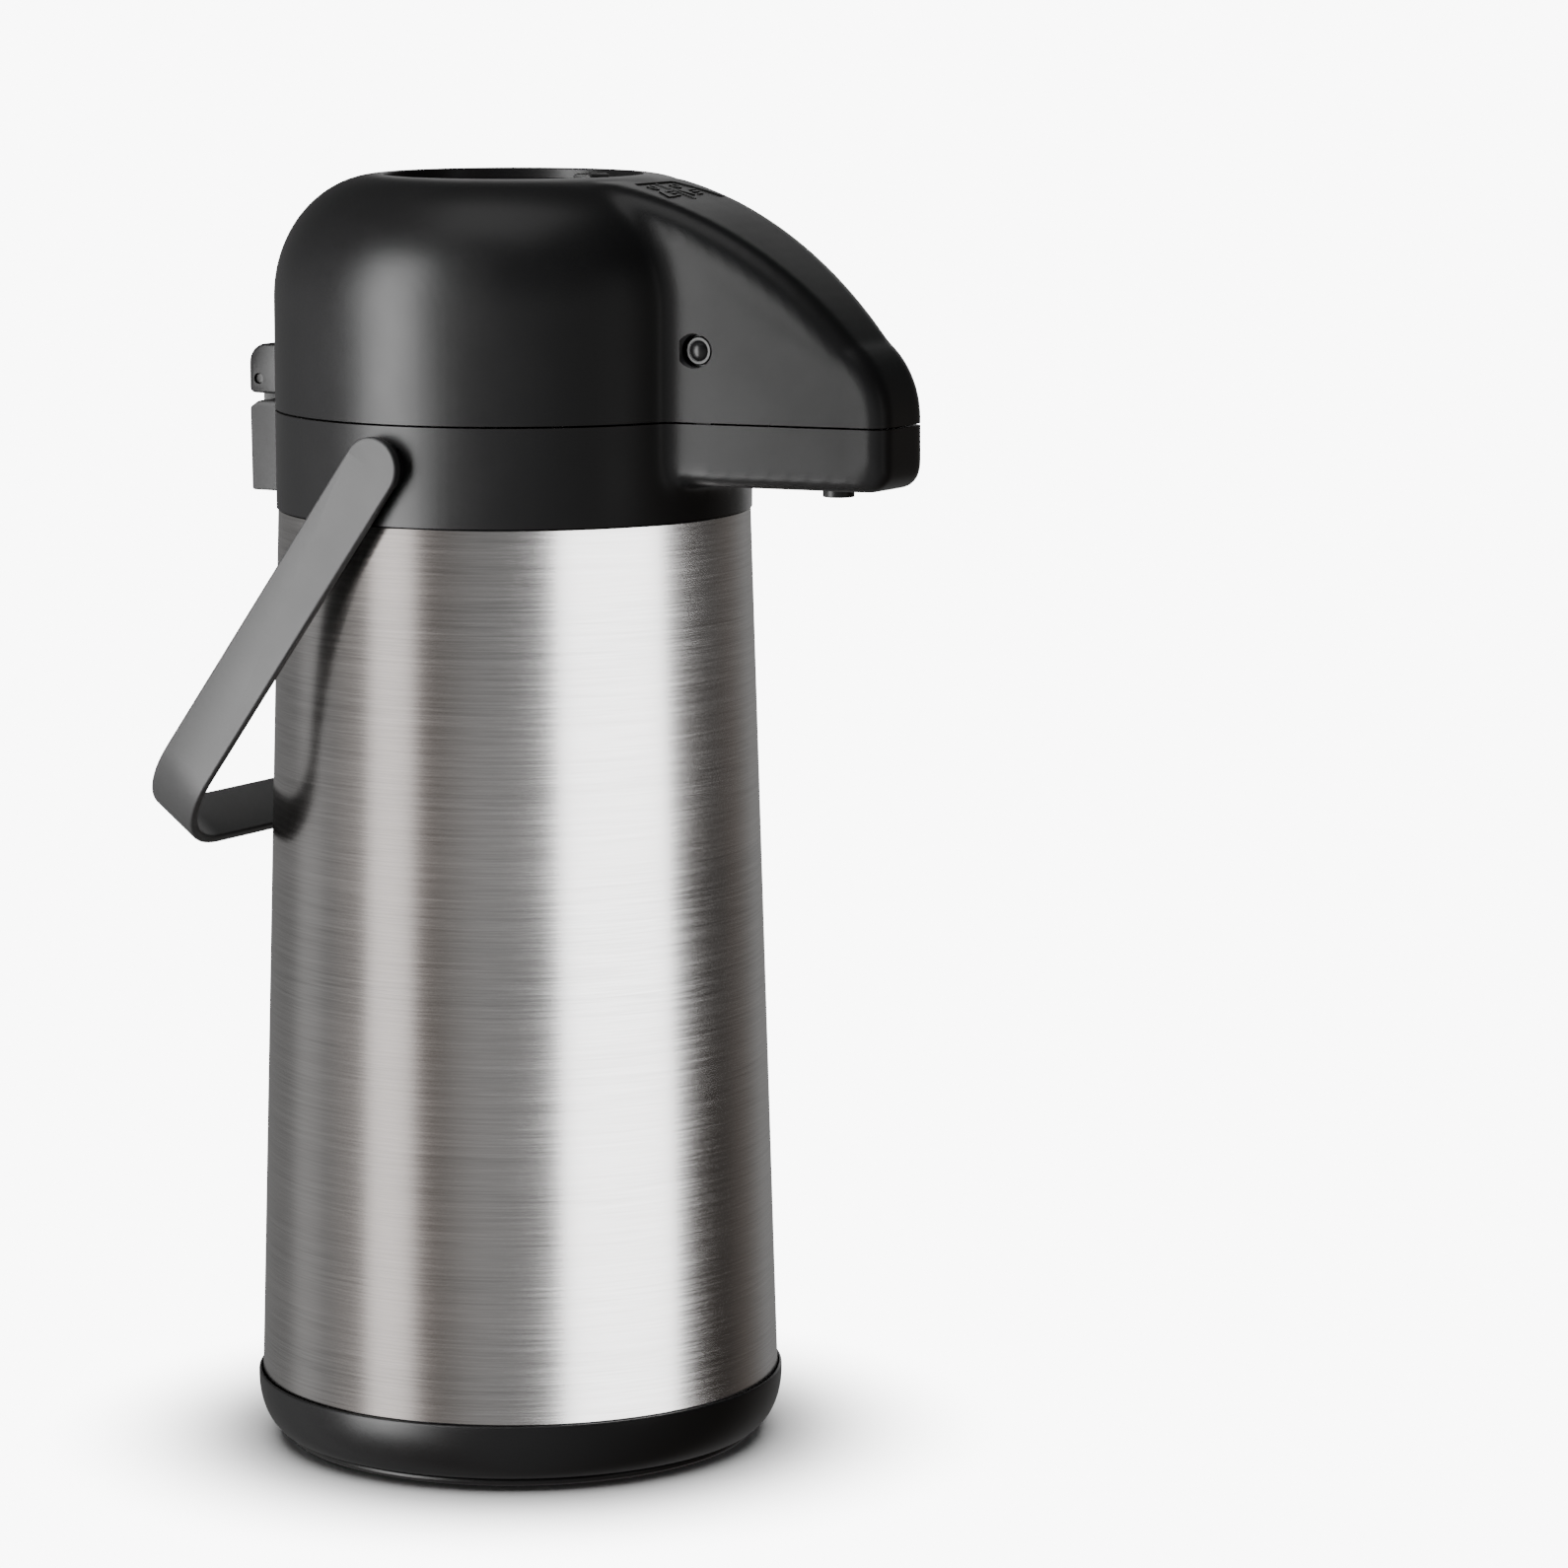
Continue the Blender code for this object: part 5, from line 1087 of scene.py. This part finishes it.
# The frame's other nodes keep their own shape, with these finishes
kept = {
    inner: ["mouth_ring", "valve_housing", "lid_base", "bellows_clamp", "pump_plate"],
    plainSteel: ["outer_bottom", "getter_cap", "hinge_screw_left", "hinge_screw_right", "swivel_washer"],
    wire: ["valve_ball", "swivel_screw"],
    rubber: ["inlet_valve"],
    silicone: ["mouth_gasket", "tube_seal", "outlet_seal", "lid_gasket"],
    clear: ["dip_tube", "outlet_pipe"],
}
for i in range(1, 5):
    kept[plainSteel].append(f"lid_screw_{i}")
for material, names in kept.items():
    for name in names:
        nodes[name].data.materials.clear()
        nodes[name].data.materials.append(material)

# Studio: a floor that fades into white, dim surroundings, and lamps that each light one kind of surface
camera = {"azimuth": 33.0, "away": 1.691, "height": 0.4542, "pitch": 8.63, "yaw": 2.71, "lens": 131.0}
white = 9.0
floorLook = {"radius": 2.5, "fadeFrom": 0.076, "fadeTo": 0.150, "rough": 0.25}
floorShape = bmesh.new()
bmesh.ops.create_circle(floorShape, cap_ends=True, segments=128, radius=floorLook["radius"])
floor = toObject("floor", floorShape)
floorMaterial, tree, shader = newMaterial("pale_floor")
grain = grouped(tree, moulded, {"Grain": 300.0, "Depth": 0.00001, "Patches": 4.0})
paint = mixed(tree, grain["Patch"], (0.80, 0.80, 0.80), (0.82, 0.82, 0.82))
tree.links.new(paint, shader.inputs["Base Color"])
shader.inputs["Roughness"].default_value = floorLook["rough"]
away = shade(tree, "VectorMath", {0: shade(tree, "TexCoord").outputs["Object"]}, operation="LENGTH")
reach = {"Value": away.outputs["Value"], "From Min": floorLook["fadeFrom"], "From Max": floorLook["fadeTo"]}
fade = shade(tree, "MapRange", reach, interpolation_type="SMOOTHSTEP")
glow = shade(tree, "Emission", {"Color": (1, 1, 1, 1), "Strength": white})
both = shade(tree, "MixShader", {0: fade.outputs["Result"], 1: shader.outputs[0], 2: glow.outputs[0]})
tree.links.new(both.outputs[0], tree.nodes["Material Output"].inputs["Surface"])
floor.data.materials.append(floorMaterial)
floor.visible_glossy = False
floor.visible_diffuse = False

# what stands round the pot, by its bearing in degrees from the front, right positive: brightness, warmth
around = [
    (-180, 0.22, 0), (-128, 0.22, 0), (-118, 0.45, 0), (-106, 0.40, 0), (-98, 0.25, 0), (-88, 0.35, 1),
    (-47, 0.17, 2), (-40, 0.17, 2), (-30, 0.31, 1), (-18, 0.39, 0), (-6, 0.35, 0), (4, 0.36, 0),
    (78, 0.12, 2), (88, 0.10, 2), (98, 0.05, 2), (108, 0.05, 2), (124, 0.14, 2),
    (146, 0.30, 0), (180, 0.22, 0),
]
warmths = [(1.0, 1.0, 1.0), (1.0, 0.96, 0.93), (1.0, 0.88, 0.80)]
world = bpy.data.worlds.new("studio")
bpy.context.scene.world = world
world.use_nodes = True
tree = world.node_tree
tree.nodes.clear()
ray = shade(tree, "TexCoord").outputs["Generated"]
turned = -math.radians(camera["azimuth"])
facing = shade(tree, "VectorRotate", {"Vector": ray, "Angle": turned}, rotation_type="Z_AXIS")
parts = shade(tree, "SeparateXYZ", {"Vector": facing.outputs["Vector"]})
across = shade(tree, "Math", {0: parts.outputs["Y"], 1: -1.0}, operation="MULTIPLY")
bearing = shade(tree, "Math", {0: parts.outputs["X"], 1: across.outputs["Value"]}, operation="ARCTAN2")
full = {"Value": bearing.outputs["Value"], "From Min": -math.pi, "From Max": math.pi}
share = shade(tree, "MapRange", full)
ramp = shade(tree, "ValToRGB", {"Fac": share.outputs["Result"]})
stops = ramp.color_ramp.elements
while len(stops) < len(around):
    stops.new(0.5)
for stop, (angle, bright, warm) in zip(stops, around):
    stop.position = (angle + 180) / 360
    stop.color = [bright * c for c in warmths[warm]] + [1]
rise = shade(tree, "MapRange", {"Value": parts.outputs["Z"], "From Min": 0.0, "From Max": 0.35})
sky = mixed(tree, rise.outputs["Result"], ramp.outputs["Color"], (0.06, 0.06, 0.062))
dim = shade(tree, "Background", {"Color": sky, "Strength": 1.0})
bright = shade(tree, "Background", {"Color": (1, 1, 1, 1), "Strength": white})
seen = shade(tree, "LightPath").outputs["Is Camera Ray"]
both = shade(tree, "MixShader", {0: seen, 1: dim.outputs[0], 2: bright.outputs[0]})
out = tree.nodes.new("ShaderNodeOutputWorld")
tree.links.new(both.outputs[0], out.inputs["Surface"])


def gathered(name, objs):
    group = bpy.data.collections.new(name)
    for obj in objs:
        group.objects.link(obj)
    return group


shown = [obj for obj in bpy.context.scene.objects if obj.type == "MESH" and obj not in (steel, floor)]
takers = {"steel": gathered("lit_steel", [steel]), "floor": gathered("lit_floor", [floor])}
takers["rest"] = gathered("lit_rest", shown)


def bearingPlace(angle, away, height):
    turn = math.radians(camera["azimuth"] + angle)
    return Vector((away * math.sin(turn), -away * math.cos(turn), height))


# at: bearing, distance and height; size: width and height; glow: radiance; to: what takes its light
cool, warm = (0.97, 0.985, 1), (1, 0.95, 0.93)
lamps = {
    "floor_wash": {"at": (0, 0.1, 2.2), "size": (2.6, 2.6), "glow": 5.4, "to": "floor"},
    "right_panel": {"at": (46.5, 1.5, 0.0), "size": (1.54, 2.4), "glow": 6.8, "to": "steel", "colour": cool},
    "left_panel": {"at": (-60, 1.5, 0.0), "size": (0.60, 2.4), "glow": 1.7, "to": "steel", "colour": warm},
    "left_strip": {"at": (-57.0, 0.5, 0.25), "size": (0.23, 0.8), "glow": 10.0, "to": "rest"},
    "right_strip": {"at": (50, 1.2, 0.3), "size": (0.25, 1.0), "glow": 0.5, "to": "rest"},
    "top_soft": {"at": (-20, 0.3, 1.6), "size": (1.0, 1.0), "glow": 0.9, "to": "rest"},
    "back_soft": {"at": (165, 1.5, 0.5), "size": (1.0, 1.2), "glow": 0.7, "to": "rest"},
}
for name, look in lamps.items():
    lamp = bpy.data.lights.new(name, "AREA")
    lamp.shape = "RECTANGLE"
    lamp.size, lamp.size_y = look["size"]
    lamp.energy = look["glow"] * math.pi * lamp.size * lamp.size_y
    lamp.color = look.get("colour", (1, 1, 1))
    obj = bpy.data.objects.new(name, lamp)
    obj.location = bearingPlace(*look["at"])
    aim = Vector((0, 0, min(look["at"][2], 0.3)))
    obj.rotation_euler = (aim - obj.location).to_track_quat("-Z", "Y").to_euler()
    bpy.context.scene.collection.objects.link(obj)
    obj.light_linking.receiver_collection = takers[look["to"]]

lens = bpy.data.cameras.new("camera")
lens.lens = camera["lens"]
lens.sensor_width = 36
lens.clip_end = 50
eye = bpy.data.objects.new("camera", lens)
azimuth = math.radians(camera["azimuth"])
eye.location = (camera["away"] * math.sin(azimuth), -camera["away"] * math.cos(azimuth), camera["height"])
eye.rotation_euler = [math.radians(a) for a in (90 - camera["pitch"], 0, camera["azimuth"] - camera["yaw"])]
bpy.context.scene.collection.objects.link(eye)
bpy.context.scene.camera = eye

bpy.context.view_layer.update()
